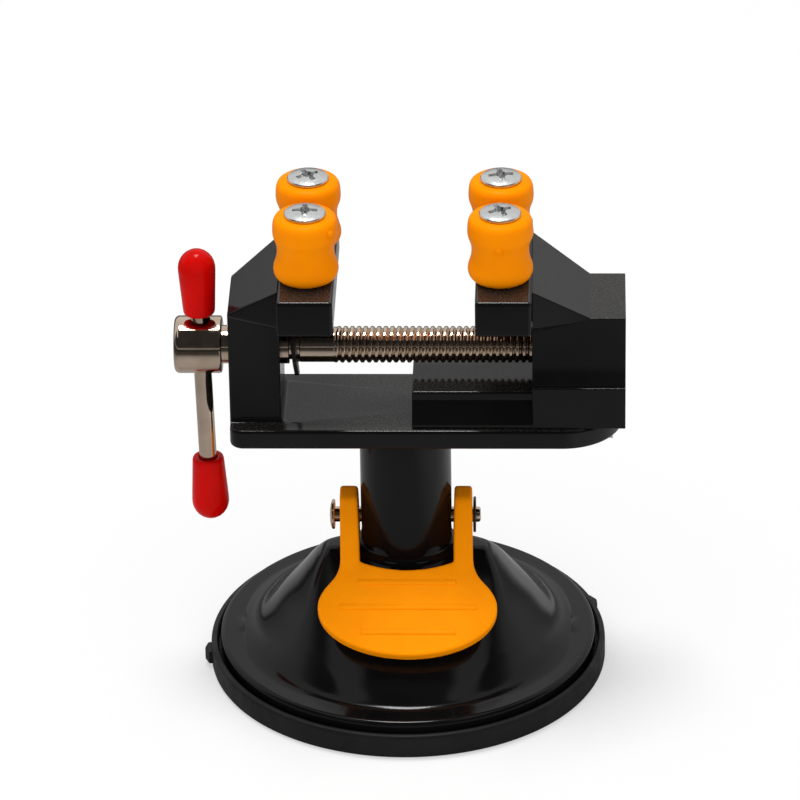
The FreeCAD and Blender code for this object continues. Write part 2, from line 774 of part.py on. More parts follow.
def make_vise_body():
    body = new_body("vise_body")
    left = -d.plate_left
    wall = -fixed_wall
    round_left, round_right = d.plate_left_round, d.plate_right_round
    half = d.plate_half_width
    plate = new_sketch(body, "plate_outline", "XY_Plane", plate_bottom)
    add_outline(plate, [
        (left + round_left, -half),
        (d.plate_right - round_right, -half, round_right, 1),
        (d.plate_right, -half + round_right),
        (d.plate_right, half - round_right, round_right, 1),
        (d.plate_right - round_right, half),
        (left + round_left, half, round_left, 1),
        (left, half - round_left),
        (left, -half + round_left, round_left, 1),
    ])
    pad(body, "plate", plate, d.plate_thick)
    # upright: straight sides up to the flare
    upright = new_sketch(body, "upright_outline", "XZ_Plane")
    add_outline(upright, [
        (left, plate_top - 1),
        (wall, plate_top - 1),
        (wall, wall_top),
        (left, fixed_low_top),
    ])
    pad(body, "upright", upright, d.fixed_half_width * 2, symmetric=True)
    # flare: the head widens from the upright's width to the nose
    flare = new_sketch(body, "flare_outline", "XY_Plane", flare_bottom)
    add_outline(flare, [
        (left, -d.fixed_half_width),
        (wall, -d.flare_half_width),
        (wall, d.flare_half_width),
        (left, d.fixed_half_width),
    ])
    pad(body, "flare", flare, wall_top - flare_bottom)
    slope = new_sketch(body, "slope_outline", "XZ_Plane")
    above = wall_top + 5
    add_outline(slope, [
        (left - 1, fixed_low_top - (wall_top - fixed_low_top) / (d.plate_left - fixed_wall)),
        (wall, wall_top),
        (wall, above),
        (left - 1, above),
    ])
    pocket(body, "slope", slope, d.flare_half_width * 2 + 4, symmetric=True)
    nose = new_sketch(body, "nose_outline", "XZ_Plane")
    add_outline(nose, box_outline(wall, wall + d.nose_length, nose_bottom, nose_top))
    pad(body, "nose", nose, d.nose_half_width * 2, symmetric=True)
    spigot = new_sketch(body, "spigot_outline", "XY_Plane", plate_bottom)
    add_circle(spigot, 0, 0, post_bore + d.seat_step - d.swivel_clearance)
    spigot_bottom = web_top + d.swivel_clearance
    pad(body, "spigot", spigot, plate_bottom - spigot_bottom, reverse=True)
    bolt = new_sketch(body, "post_screw_hole", "XY_Plane", spigot_bottom)
    add_circle(bolt, 0, 0, d.post_screw_radius)
    pocket(body, "post_screw_hole_cut", bolt, d.post_screw_reach + d.blind_gap, reverse=True)
    slot = new_sketch(body, "key_slot_outline", "XY_Plane", plate_bottom - 1)
    room = d.key_width / 2 + d.hole_clearance
    side = d.key_width / 2 + d.running_clearance
    add_outline(slot, box_outline(key_place - d.jaw_travel - room,
                                  key_place + d.jaw_back_travel + room, -side, side))
    pocket(body, "key_slot", slot, d.plate_thick + 2, reverse=True)
    bore = new_sketch(body, "neck_bore_outline", "YZ_Plane", left - 1)
    add_circle(bore, 0, screw_height, d.neck_radius + d.running_clearance)
    pocket(body, "neck_bore", bore, d.plate_left - fixed_wall + 2, reverse=True)
    cut_peg_holes(body, wall + d.nose_length - d.fixed_peg_inset)
    round_edges(body, "edges", d.edge_round, vise_body_edges)
    return body


def vise_body_edges(edge):
    """Long outer edges of the casting that a hand can feel."""
    box = edge.BoundBox
    if near(box.ZMin, plate_top) and near(box.ZMax, plate_top):
        return edge.Length > 3 and is_plate_rim(edge)
    if is_line(edge, AXIS_Y) and near(box.XMin, wall_face(-1) + d.nose_length):
        return near(box.ZMin, nose_top) or near(box.ZMin, nose_bottom)
    return False


def is_plate_rim(edge):
    box = edge.BoundBox
    on_side = near(abs(box.YMin), d.plate_half_width) or near(abs(box.YMax), d.plate_half_width)
    on_end = near(box.XMax, d.plate_right)
    return on_side or on_end


def wall_face(side):
    """X of the upright's face that the nose stands on."""
    return moving_wall if side > 0 else -fixed_wall


def cut_peg_holes(body, x):
    holes = new_sketch(body, "peg_holes_outline", "XY_Plane", nose_top + 1)
    for side in (-1, 1):
        add_circle(holes, x, d.peg_spacing * side, d.peg_screw_radius)
    pocket(body, "peg_holes", holes, d.peg_screw_reach + 1)


def make_moving_jaw():
    body = new_body("moving_jaw")
    wall = moving_wall
    bottom = plate_top + d.slide_clearance
    # the lower block's cross-section is the same from the wall to the right end
    lower = new_sketch(body, "lower_outline", "YZ_Plane", wall)
    add_outline(lower, [
        (-d.jaw_low_half_width, bottom),
        (d.jaw_low_half_width, bottom),
        (d.jaw_low_half_width, jaw_block_top),
        (d.jaw_half_width, jaw_block_top + d.jaw_band_height),
        (d.jaw_half_width, flare_bottom),
        (-d.jaw_half_width, flare_bottom),
        (-d.jaw_half_width, jaw_block_top + d.jaw_band_height),
        (-d.jaw_low_half_width, jaw_block_top),
    ])
    pad(body, "lower", lower, jaw_right - wall)
    head = new_sketch(body, "head_outline", "XY_Plane", flare_bottom)
    add_outline(head, [
        (wall, -d.flare_half_width),
        (slope_end, -d.jaw_half_width),
        (jaw_right, -d.jaw_half_width),
        (jaw_right, d.jaw_half_width),
        (slope_end, d.jaw_half_width),
        (wall, d.flare_half_width),
    ])
    pad(body, "head", head, wall_top - flare_bottom)
    slope = new_sketch(body, "slope_outline", "XZ_Plane")
    above = wall_top + 5
    add_outline(slope, [
        (wall, wall_top),
        (slope_end, moving_low_top),
        (jaw_right + 1, moving_low_top),
        (jaw_right + 1, above),
        (wall, above),
    ])
    pocket(body, "slope", slope, d.flare_half_width * 2 + 4, symmetric=True)
    nose = new_sketch(body, "nose_outline", "XZ_Plane")
    add_outline(nose, box_outline(wall - d.nose_length, wall, nose_bottom, nose_top))
    pad(body, "nose", nose, d.nose_half_width * 2, symmetric=True)
    # shoe: the long foot under the screw that slides on the plate
    shoe = new_sketch(body, "shoe_outline", "YZ_Plane", shoe_left)
    land = shoe_top - d.shoe_land
    add_outline(shoe, [
        (-d.shoe_half_width, bottom),
        (d.shoe_half_width, bottom),
        (d.shoe_half_width, bottom + d.shoe_toe),
        (d.shoe_top_half_width, land),
        (d.shoe_top_half_width, shoe_top),
        (-d.shoe_top_half_width, shoe_top),
        (-d.shoe_top_half_width, land),
        (-d.shoe_half_width, bottom + d.shoe_toe),
    ])
    pad(body, "shoe", shoe, wall - shoe_left + 1)
    key = new_sketch(body, "key_outline", "XY_Plane", plate_bottom)
    reach = d.key_width / 2
    add_outline(key, box_outline(key_place - reach, key_place + reach, -reach, reach))
    pad(body, "key", key, d.plate_thick + 1)
    bore = new_sketch(body, "screw_bore_outline", "YZ_Plane", wall - 1)
    add_circle(bore, 0, screw_height, screw_bore)
    pocket(body, "screw_bore", bore, jaw_right - wall + 2, reverse=True)
    hole = new_sketch(body, "keeper_hole_outline", "XY_Plane", plate_bottom - 1)
    add_circle(hole, key_place, 0, d.keeper_screw_radius)
    pocket(body, "keeper_hole", hole, d.keeper_screw_length, reverse=True)
    cut_peg_holes(body, wall - d.nose_length + d.moving_peg_inset)
    round_edges(body, "edges", d.edge_round, moving_jaw_edges)
    return body


def moving_jaw_edges(edge):
    """The long top and bottom edges of the nose's clamping face."""
    box = edge.BoundBox
    if is_line(edge, AXIS_Y) and near(box.XMin, wall_face(1) - d.nose_length):
        return near(box.ZMin, nose_top) or near(box.ZMin, nose_bottom)
    return False


def make_keeper_plate():
    """A small plate under the base plate that keeps the moving jaw down."""
    body = new_body("keeper_plate")
    top = plate_bottom - d.slide_clearance
    sketch = new_sketch(body, "outline", "XY_Plane", top)
    half_length, half_width = d.keeper_length / 2, d.keeper_width / 2
    add_outline(sketch, box_outline(key_place - half_length, key_place + half_length,
                                    -half_width, half_width))
    add_circle(sketch, key_place, 0, d.keeper_screw_radius + d.hole_clearance)
    pad(body, "plate", sketch, d.keeper_thick, reverse=True)
    return body


def pan_head_screw(label, shank, head, head_height, length):
    """A screw with its seat at the origin, shank down, head up."""
    return turned_body(label, [
        (0, -length),
        (shank - d.small_chamfer, -length),
        (shank, -length + d.small_chamfer),
        (shank, 0),
        (head, 0),
        (head, head_height * 0.45),
        (head * 0.55, head_height),
        (0, head_height),
    ])


def make_keeper_screw():
    seat = plate_bottom - d.slide_clearance - d.keeper_thick
    body = pan_head_screw("keeper_screw", d.keeper_screw_radius, d.keeper_head_radius,
                          d.keeper_head_height, d.keeper_screw_length - d.blind_gap)
    place_body(body, x=key_place, z=seat, axis=AXIS_X, angle=180)
    return body


def make_post_screw():
    seat = web_bottom - d.post_washer_thick
    body = pan_head_screw("post_screw", d.post_screw_radius, d.post_screw_head_radius,
                          d.post_screw_head_height,
                          d.post_washer_thick + d.post_web + d.post_screw_reach)
    place_body(body, z=seat, axis=AXIS_X, angle=180)
    return body


def make_post_washer():
    body = new_body("post_washer")
    sketch = new_sketch(body, "outline", "XY_Plane", web_bottom)
    add_circle(sketch, 0, 0, d.post_washer_radius)
    add_circle(sketch, 0, 0, d.post_screw_radius + d.hole_clearance)
    pad(body, "ring", sketch, d.post_washer_thick, reverse=True)
    return body


# ---------------------------------------------------------------- screw and handle


def make_lead_screw():
    """Tenon, neck, clip groove, plain shaft and thread, turned about the screw axis.

    The thread is a row of equal V grooves at the pitch.
    """
    tenon_left = -(hub_left - d.hub_length - d.hub_collar + d.tenon_length).value
    neck_left = -(d.plate_left + d.hub_gap).value
    neck_right = -neck_end.value
    groove_right = neck_right + d.groove_width.value
    thread_left = -thread_start.value
    thread_right = thread_end.value
    pitch = d.thread_pitch.value
    crest = d.thread_radius.value
    floor = crest - d.thread_depth.value
    shaft = d.shaft_radius.value
    outline = [
        (tenon_left, 0.0),
        (tenon_left, d.tenon_radius.value),
        (neck_left, d.tenon_radius.value),
        (neck_left, d.neck_radius.value),
        (neck_right, d.neck_radius.value),
        (neck_right, d.groove_radius.value),
        (groove_right, d.groove_radius.value),
        (groove_right, shaft),
        (thread_left - pitch * 0.4, shaft),
        (thread_left, floor),
    ]
    turns = int((thread_right - thread_left) / pitch)
    flat = pitch * 0.06
    for number in range(turns):
        middle = thread_left + pitch * (number + 0.5)
        outline += [
            (middle - flat, crest),
            (middle + flat, crest),
            (middle + pitch / 2, floor),
        ]
    outline += [(thread_right, floor), (thread_right, 0.0)]
    points = [Vector(x, 0, r) for x, r in outline]
    face = Part.Face(Part.makePolygon(points + [points[0]]))
    item = doc.addObject("Part::Feature", "body_lead_screw")
    item.Label = "lead_screw"
    item.Shape = face.revolve(Vector(0, 0, 0), AXIS_X, 360)
    item.Placement = FreeCAD.Placement(Vector(0, 0, screw_height.value), FreeCAD.Rotation())
    return item


def make_screw_hub():
    left = -hub_left
    right = left + d.hub_length
    end = right + d.hub_collar
    tenon_floor = end - d.tenon_length
    body = turned_body("screw_hub", [
        (left, 0),
        (left, d.hub_radius - d.hub_round, d.hub_round, -1),
        (left + d.hub_round, d.hub_radius),
        (right - d.small_chamfer, d.hub_radius),
        (right, d.hub_radius - d.small_chamfer),
        (right, d.hub_collar_radius),
        (end, d.hub_collar_radius),
        (end, d.tenon_radius),
        (tenon_floor, d.tenon_radius),
        (tenon_floor, 0),
    ], axis="H_Axis")
    hole = new_sketch(body, "bar_hole_outline", "XY_Plane")
    add_circle(hole, bar_place, 0, bar_bore)
    pocket(body, "bar_hole", hole, d.hub_radius * 2 + 2, symmetric=True)
    place_body(body, z=screw_height)
    return body


def make_retaining_clip():
    offset = -neck_end + (d.groove_width - d.snap_thick) / 2
    body = make_slit_ring("retaining_clip", offset, d.snap_radius, d.groove_radius,
                          d.snap_thick, d.snap_slit)
    place_body(body, z=screw_height)
    return body


def cap_seat():
    """Height above the screw axis of the upper cap's mouth, a little clear of the hub."""
    return d.hub_radius + d.cap_seat_gap


def hang_in_hub(body):
    """Place a piece of the handle, which hangs in the hub's hole with a slight lean."""
    place_body(body, x=bar_place, z=screw_height, axis=-AXIS_Y, angle=d.bar_lean.value)
    bind(body, "Placement.Rotation.Angle", d.bar_lean)


def make_handle_bar():
    top = cap_seat() + d.cap_depth
    bottom = cap_seat() - d.bar_free_length - d.cap_depth
    body = turned_body("handle_bar", [
        (0, bottom),
        (d.bar_radius - d.small_chamfer, bottom),
        (d.bar_radius, bottom + d.small_chamfer),
        (d.bar_radius, top - d.small_chamfer),
        (d.bar_radius - d.small_chamfer, top),
        (0, top),
    ])
    hang_in_hub(body)
    return body


def make_handle_cap(label, mouth, way):
    """A soft dip-moulded cap; its mouth faces the hub and its domed end points up or down."""
    dome = d.cap_dome_radius
    body = turned_body(label, [
        (d.bar_radius, mouth),
        (d.cap_mouth_radius - d.small_chamfer, mouth),
        (d.cap_mouth_radius, mouth + d.small_chamfer * way),
        (dome, mouth + (d.cap_length - dome) * way, dome, way),
        (0, mouth + d.cap_length * way),
        (0, mouth + d.cap_depth * way),
        (d.bar_radius, mouth + d.cap_depth * way),
    ])
    hang_in_hub(body)
    return body


# ---------------------------------------------------------------- pegs


def make_peg(label, x, side):
    """A soft waisted bollard with a rounded foot and head, turned about its screw."""
    h = d.peg_height
    hole = d.peg_screw_radius + d.peg_clearance
    body = turned_body(label, [
        (hole, 0),
        (d.peg_foot_radius - d.small_chamfer, 0),
        (d.peg_foot_radius, d.small_chamfer),
        (d.peg_bulge_radius, h * 0.16, d.peg_foot_round, 1),
        (d.peg_bulge_radius - 0.25, h * 0.27),
        (d.peg_waist_radius, h * 0.43),
        (d.peg_waist_radius, h * 0.54),
        (d.peg_bulge_radius - 0.2, h * 0.72),
        (d.peg_bulge_radius, h * 0.8, d.peg_head_round, 1),
        (d.peg_rim_radius, h * 0.97),
        (d.peg_rim_radius - d.peg_rim_step, h),
        (hole, h),
    ])
    place_body(body, x=x, y=d.peg_spacing * side, z=nose_top + d.slide_clearance)
    return body


def make_peg_screw(label, x, side):
    body = turned_body(label, [
        (0, -(d.peg_height + d.peg_screw_reach)),
        (d.peg_screw_radius, -(d.peg_height + d.peg_screw_reach)),
        (d.peg_screw_radius, 0),
        (d.peg_head_radius, 0),
        (d.peg_head_radius, d.peg_head_rim),
        (d.peg_head_radius * 0.5, d.peg_head_height),
        (0, d.peg_head_height),
    ])
    slots = new_sketch(body, "cross_outline", "XY_Plane", d.peg_head_height + 1)
    long, short = d.cross_length / 2, d.cross_width / 2
    add_outline(slots, [
        (long, -short), (long, short), (short, short), (short, long), (-short, long),
        (-short, short), (-long, short), (-long, -short), (-short, -short),
        (-short, -long), (short, -long), (short, -short),
    ])
    pocket(body, "cross", slots, d.cross_depth + 1)
    seat = nose_top + d.slide_clearance * 2 + d.peg_height
    place_body(body, x=x, y=d.peg_spacing * side, z=seat)
    return body


# ---------------------------------------------------------------- build, check, export


def make_all():
    fixed_peg_x = -fixed_wall + d.nose_length - d.fixed_peg_inset
    moving_peg_x = moving_wall - d.nose_length + d.moving_peg_inset
    items = [
        make_suction_cup(),
        make_base_cover(),
        make_suction_stem(),
        make_pivot_pin(),
        make_pin_clip(),
        make_suction_lever(),
        make_vise_body(),
        make_post_screw(),
        make_post_washer(),
        make_lead_screw(),
        make_screw_hub(),
        make_retaining_clip(),
        make_handle_bar(),
        make_handle_cap("handle_cap_upper", cap_seat(), 1),
        make_handle_cap("handle_cap_lower", cap_seat() - d.bar_free_length, -1),
        make_moving_jaw(),
        make_keeper_plate(),
        make_keeper_screw(),
    ]
    for jaw, x in (("fixed", fixed_peg_x), ("moving", moving_peg_x)):
        for place, side in (("front", -1), ("rear", 1)):
            items.append(make_peg(f"peg_{jaw}_{place}", x, side))
            items.append(make_peg_screw(f"peg_screw_{jaw}_{place}", x, side))
    return items


def check(items):
    """Stop when any object failed or any sub-part is not one sound solid."""
    doc.recompute()
    bad = [item.Name for item in doc.Objects
           if "Invalid" in item.State or "Error" in item.State]
    for item in items:
        shape = item.Shape
        if shape.isNull() or not shape.isValid() or len(shape.Solids) != 1:
            bad.append(item.Label)
    if bad:
        raise RuntimeError("failed: " + ", ".join(bad))


def export(items):
    os.makedirs("parts", exist_ok=True)
    for item in items:
        item.Shape.exportStep(f"parts/{item.Label}.step")
        box = item.Shape.BoundBox
        print(f"{item.Label:24s} volume {item.Shape.Volume:9.1f}  "
              f"x {box.XMin:7.2f} {box.XMax:7.2f}  y {box.YMin:7.2f} {box.YMax:7.2f}  "
              f"z {box.ZMin:7.2f} {box.ZMax:7.2f}")


sub_parts = make_all()
check(sub_parts)
export(sub_parts)
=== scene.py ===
"""The looks of a small suction base vise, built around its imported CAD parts.

Pieces are drawn in millimetres in the part's own frame: +Z up, the lead screw along X
and the lever towards -Y. They are scaled to metres when they are finished.
"""

import math

import bmesh
import bpy
from mathutils import Matrix, Vector


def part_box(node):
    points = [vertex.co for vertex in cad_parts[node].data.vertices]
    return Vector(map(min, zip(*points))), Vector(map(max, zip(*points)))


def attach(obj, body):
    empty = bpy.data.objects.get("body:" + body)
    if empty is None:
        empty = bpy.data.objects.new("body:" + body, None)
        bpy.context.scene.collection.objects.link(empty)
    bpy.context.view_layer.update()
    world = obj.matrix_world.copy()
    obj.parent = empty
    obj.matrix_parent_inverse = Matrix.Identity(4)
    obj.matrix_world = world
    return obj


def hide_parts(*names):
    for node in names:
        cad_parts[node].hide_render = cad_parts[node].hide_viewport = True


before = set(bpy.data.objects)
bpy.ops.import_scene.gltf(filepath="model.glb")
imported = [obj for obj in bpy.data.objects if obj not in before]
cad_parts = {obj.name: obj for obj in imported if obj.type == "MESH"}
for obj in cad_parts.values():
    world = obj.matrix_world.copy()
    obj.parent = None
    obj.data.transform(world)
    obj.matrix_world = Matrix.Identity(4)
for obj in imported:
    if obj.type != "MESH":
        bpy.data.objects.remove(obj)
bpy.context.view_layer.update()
scene = bpy.context.scene

MM = 0.001

# ------------------------------------------------------------------ places, in millimetres


def node_box(name):
    """The lower and the upper corner of a CAD node's box, in millimetres."""
    low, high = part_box(name)
    return low / MM, high / MM


cover_low, cover_high = node_box("base_cover")
vise_low, vise_high = node_box("vise_body")
jaw_low, jaw_high = node_box("moving_jaw")
screw_low, screw_high = node_box("lead_screw")
hub_low, hub_high = node_box("screw_hub")
clip_low, clip_high = node_box("retaining_clip")
pin_low, pin_high = node_box("pivot_pin")
push_clip_low, push_clip_high = node_box("pin_clip")

# cover and post
POST_RADIUS = 8.6
SHOULDER = 25.0
FLANGE_TOP = 6.6
FLANK_RADIUS = 31.3
COVER_RADIUS = cover_high.x
FACE_RISE = 0.7
# base plate, and the web in the post that the plate's spigot is screwed to
PLATE_BOTTOM = cover_high.z
PLATE_TOP = PLATE_BOTTOM + 3.9
PLATE_HALF = 11.4
PLATE_RIGHT = 40.8
WEB_BOTTOM = PLATE_BOTTOM - 6.3
WEB_TOP = WEB_BOTTOM + 2.5
# uprights and noses
WALL_TOP = PLATE_TOP + 29.7
FLARE_BOTTOM = WALL_TOP - 7.5
FLARE_HALF = 12.2
FLARE_DROP = 2.7
NOSE_TOP = vise_high.z
NOSE_BOTTOM = NOSE_TOP - 7.2
NOSE_HALF = vise_high.y
NOSE_LENGTH = 10.4
CAST_EDGE = 0.7
FIXED_LEFT = -32.4
FIXED_WALL = FIXED_LEFT + 9.6
FIXED_HALF = 7.7
JAW_RIGHT = jaw_high.x
JAW_WALL = JAW_RIGHT - 17.3
JAW_BOTTOM = PLATE_TOP + 0.05
SHOE_TOP = PLATE_TOP + 6.7
BLOCK_TOP = PLATE_TOP + 8.5
# screw, handle and the lever's pin
SCREW_HEIGHT = (screw_low.z + screw_high.z) / 2
SCREW_AXIS = (0, 0, SCREW_HEIGHT)
BAR_FROM_END = 4.95
BAR_LEAN = math.radians(1.4)
PIN_HEIGHT = (pin_low.z + pin_high.z) / 2
PIN_AXIS = (0, 0, PIN_HEIGHT)

# ------------------------------------------------------------------ mesh helpers


def rounded(corners, steps=6):
    """An outline in which a corner (x, y, radius) is rounded and a corner (x, y) is sharp."""
    out = []
    for index, corner in enumerate(corners):
        here = Vector(corner[:2])
        if len(corner) == 2:
            out.append(here)
            continue
        before = (Vector(corners[index - 1][:2]) - here).normalized()
        after = (Vector(corners[(index + 1) % len(corners)][:2]) - here).normalized()
        half = before.angle(after) / 2
        centre = here + (before + after).normalized() * corner[2] / math.sin(half)
        start = here + before * corner[2] / math.tan(half) - centre
        end = here + after * corner[2] / math.tan(half) - centre
        sweep = math.atan2(start.x * end.y - start.y * end.x, start.dot(end))
        for step in range(steps + 1):
            angle = sweep * step / steps
            turn = Matrix.Rotation(angle, 2)
            out.append(centre + turn @ start)
    return out


def rounded_box(left, low, right, high, radius):
    """A rectangle's outline with four corners of one radius."""
    return rounded([(left, low, radius), (right, low, radius),
                    (right, high, radius), (left, high, radius)])


def polar(radii):
    """An outline of points at equal angles around the origin, with the radii given."""
    angles = [math.tau * index / len(radii) for index in range(len(radii))]
    return [(r * math.cos(angle), r * math.sin(angle)) for r, angle in zip(radii, angles)]


def spline(points, steps):
    """A smooth Catmull-Rom line through the points."""
    points = [Vector(p) for p in points]
    out = []
    for index in range(len(points) - 1):
        p1, p2 = points[index], points[index + 1]
        p0 = points[index - 1] if index else p1 * 2 - p2
        p3 = points[index + 2] if index + 2 < len(points) else p2 * 2 - p1
        for step in range(steps):
            t = step / steps
            out.append(0.5 * (2 * p1 + (p2 - p0) * t + (2 * p0 - 5 * p1 + 4 * p2 - p3) * t * t
                              + (3 * p1 - p0 - 3 * p2 + p3) * t ** 3))
    out.append(points[-1])
    return out


def add_prism(bm, outline, axis, low, high):
    """A prism along the axis x or z, from low to high, over an outline of (a, b) points."""
    ends = []
    for k in (low, high):
        ends.append([bm.verts.new((k, *p) if axis == "x" else (*p, k)) for p in outline])
    bm.faces.new(ends[0])
    bm.faces.new(ends[1])
    for index in range(len(outline)):
        after = (index + 1) % len(outline)
        bm.faces.new((ends[0][index], ends[0][after], ends[1][after], ends[1][index]))
    bmesh.ops.recalc_face_normals(bm, faces=bm.faces)


def soften(bm, width, steps=3, angle=25):
    """Round the convex edges that are sharper than the angle."""
    bmesh.ops.recalc_face_normals(bm, faces=bm.faces)
    limit = math.radians(angle)
    edges = [e for e in bm.edges if e.is_manifold and e.calc_face_angle_signed() > limit]
    bmesh.ops.bevel(bm, geom=edges, offset=width, segments=steps, profile=0.5,
                    affect="EDGES", clamp_overlap=True)


def as_object(bm, name):
    mesh = bpy.data.meshes.new(name)
    bm.to_mesh(mesh)
    bm.free()
    obj = bpy.data.objects.new(name, mesh)
    scene.collection.objects.link(obj)
    return obj


def prism(name, outline, axis, low, high, bevel=0.0, steps=3):
    bm = bmesh.new()
    add_prism(bm, outline, axis, low, high)
    if bevel:
        soften(bm, bevel, steps)
    return as_object(bm, name)


def block(name, low, high, bevel=0.0):
    outline = [(low[0], low[1]), (high[0], low[1]), (high[0], high[1]), (low[0], high[1])]
    return prism(name, outline, "z", low[2], high[2], bevel)


def lathe(name, profile, axis="z", centre=(0, 0, 0), turns=96, closed=False):
    """Turn a profile of (radius, height) points about the axis z or x through the centre."""
    bm = bmesh.new()
    rings = []
    for radius, height in profile:
        if radius < 1e-6:
            rings.append([bm.verts.new((0, 0, height))])
            continue
        ring = []
        for step in range(turns):
            angle = math.tau * step / turns
            x, y = radius * math.cos(angle), radius * math.sin(angle)
            ring.append(bm.verts.new((x, y, height)))
        rings.append(ring)
    pairs = list(zip(rings, rings[1:]))
    if closed:
        pairs.append((rings[-1], rings[0]))
    for low, high in pairs:
        for step in range(turns):
            after = (step + 1) % turns
            corners = [low[step % len(low)], low[after % len(low)],
                       high[after % len(high)], high[step % len(high)]]
            unique = list(dict.fromkeys(corners))
            if len(unique) > 2:
                bm.faces.new(unique)
    bmesh.ops.recalc_face_normals(bm, faces=bm.faces)
    if axis == "x":
        bmesh.ops.transform(bm, matrix=Matrix.Rotation(math.pi / 2, 4, "Y"), verts=bm.verts)
    bmesh.ops.translate(bm, vec=centre, verts=bm.verts)
    return as_object(bm, name)


def rod(name, radius, low, high, axis="z", centre=(0, 0, 0), turns=64):
    """A plain cylinder from low to high along its axis."""
    profile = [(0, low), (radius, low), (radius, high), (0, high)]
    return lathe(name, profile, axis, centre, turns)


def combine(base, tool, operation):
    """Join or cut with a second object, which is used up."""
    modifier = base.modifiers.new("combine", "BOOLEAN")
    modifier.operation = operation
    modifier.solver = "EXACT"
    modifier.object = tool
    bpy.context.view_layer.update()
    shown = base.evaluated_get(bpy.context.evaluated_depsgraph_get())
    mesh = bpy.data.meshes.new_from_object(shown)
    base.modifiers.clear()
    base.data = mesh
    bpy.data.objects.remove(tool)


def join(base, *tools):
    for tool in tools:
        combine(base, tool, "UNION")


def cut(base, *tools):
    for tool in tools:
        combine(base, tool, "DIFFERENCE")


def melt(name, parts, voxel, rounds):
    """Fuse overlapping solids into one skin with softly rounded edges and inner corners."""
    bm = bmesh.new()
    for part in parts:
        bm.from_mesh(part.data)
        bpy.data.objects.remove(part)
    obj = as_object(bm, name)
    skin = obj.modifiers.new("skin", "REMESH")
    skin.mode = "VOXEL"
    skin.voxel_size = voxel
    smooth = obj.modifiers.new("smooth", "SMOOTH")
    smooth.factor = 0.5
    smooth.iterations = rounds
    bpy.context.view_layer.update()
    shown = obj.evaluated_get(bpy.context.evaluated_depsgraph_get())
    mesh = bpy.data.meshes.new_from_object(shown)
    obj.modifiers.clear()
    obj.data = mesh
    return obj


def move(obj, x=0, y=0, z=0):
    obj.data.transform(Matrix.Translation((x, y, z)))
    return obj


def finish(obj, body, slot, nodes, sharp=32, weighted=True):
    """Scale to metres, shade, give the slot's material and tie the piece to its body."""
    mesh = obj.data
    mesh.name = obj.name
    mesh.transform(Matrix.Scale(MM, 4))
    mesh.shade_smooth()
    if weighted:
        mesh.set_sharp_from_angle(angle=math.radians(sharp))
        modifier = obj.modifiers.new("normals", "WEIGHTED_NORMAL")
        modifier.keep_sharp = True
    mesh.materials.clear()
    mesh.materials.append(MATERIALS[slot])
    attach(obj, body)
    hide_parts(*nodes)


# ------------------------------------------------------------------ materials


class Graph:
    """A node tree whose nodes are made, given their inputs and linked by short calls."""

    def __init__(self, tree):
        self.tree = tree

    def feed(self, socket, value):
        """Link the socket to another one, or give it a plain value."""
        if isinstance(value, bpy.types.NodeSocket):
            self.tree.links.new(value, socket)
        else:
            socket.default_value = value

    def node(self, kind, **inputs):
        node = self.tree.nodes.new(kind)
        for socket, value in inputs.items():
            self.feed(node.inputs[socket], value)
        return node

    def calc(self, operation, *values):
        node = self.tree.nodes.new("ShaderNodeMath")
        node.operation = operation
        for socket, value in zip(node.inputs, values):
            self.feed(socket, value)
        return node.outputs[0]

    def mix(self, share, first, second):
        """A mix of two numbers."""
        node = self.tree.nodes.new("ShaderNodeMix")
        for index, value in ((0, share), (2, first), (3, second)):
            self.feed(node.inputs[index], value)
        return node.outputs[0]

    def spread(self, value, low, high, low_in=0.3, high_in=0.7, kind="LINEAR"):
        """Map what lies from low_in to high_in onto low to high, and clamp the rest."""
        node = self.tree.nodes.new("ShaderNodeMapRange")
        node.interpolation_type = kind
        for socket, number in (("Value", value), ("From Min", low_in), ("From Max", high_in),
                               ("To Min", low), ("To Max", high)):
            self.feed(node.inputs[socket], number)
        return node.outputs[0]

    def smooth(self, value, low_in, high_in, low=0.0, high=1.0):
        """The same map with soft ends."""
        return self.spread(value, low, high, low_in, high_in, "SMOOTHSTEP")


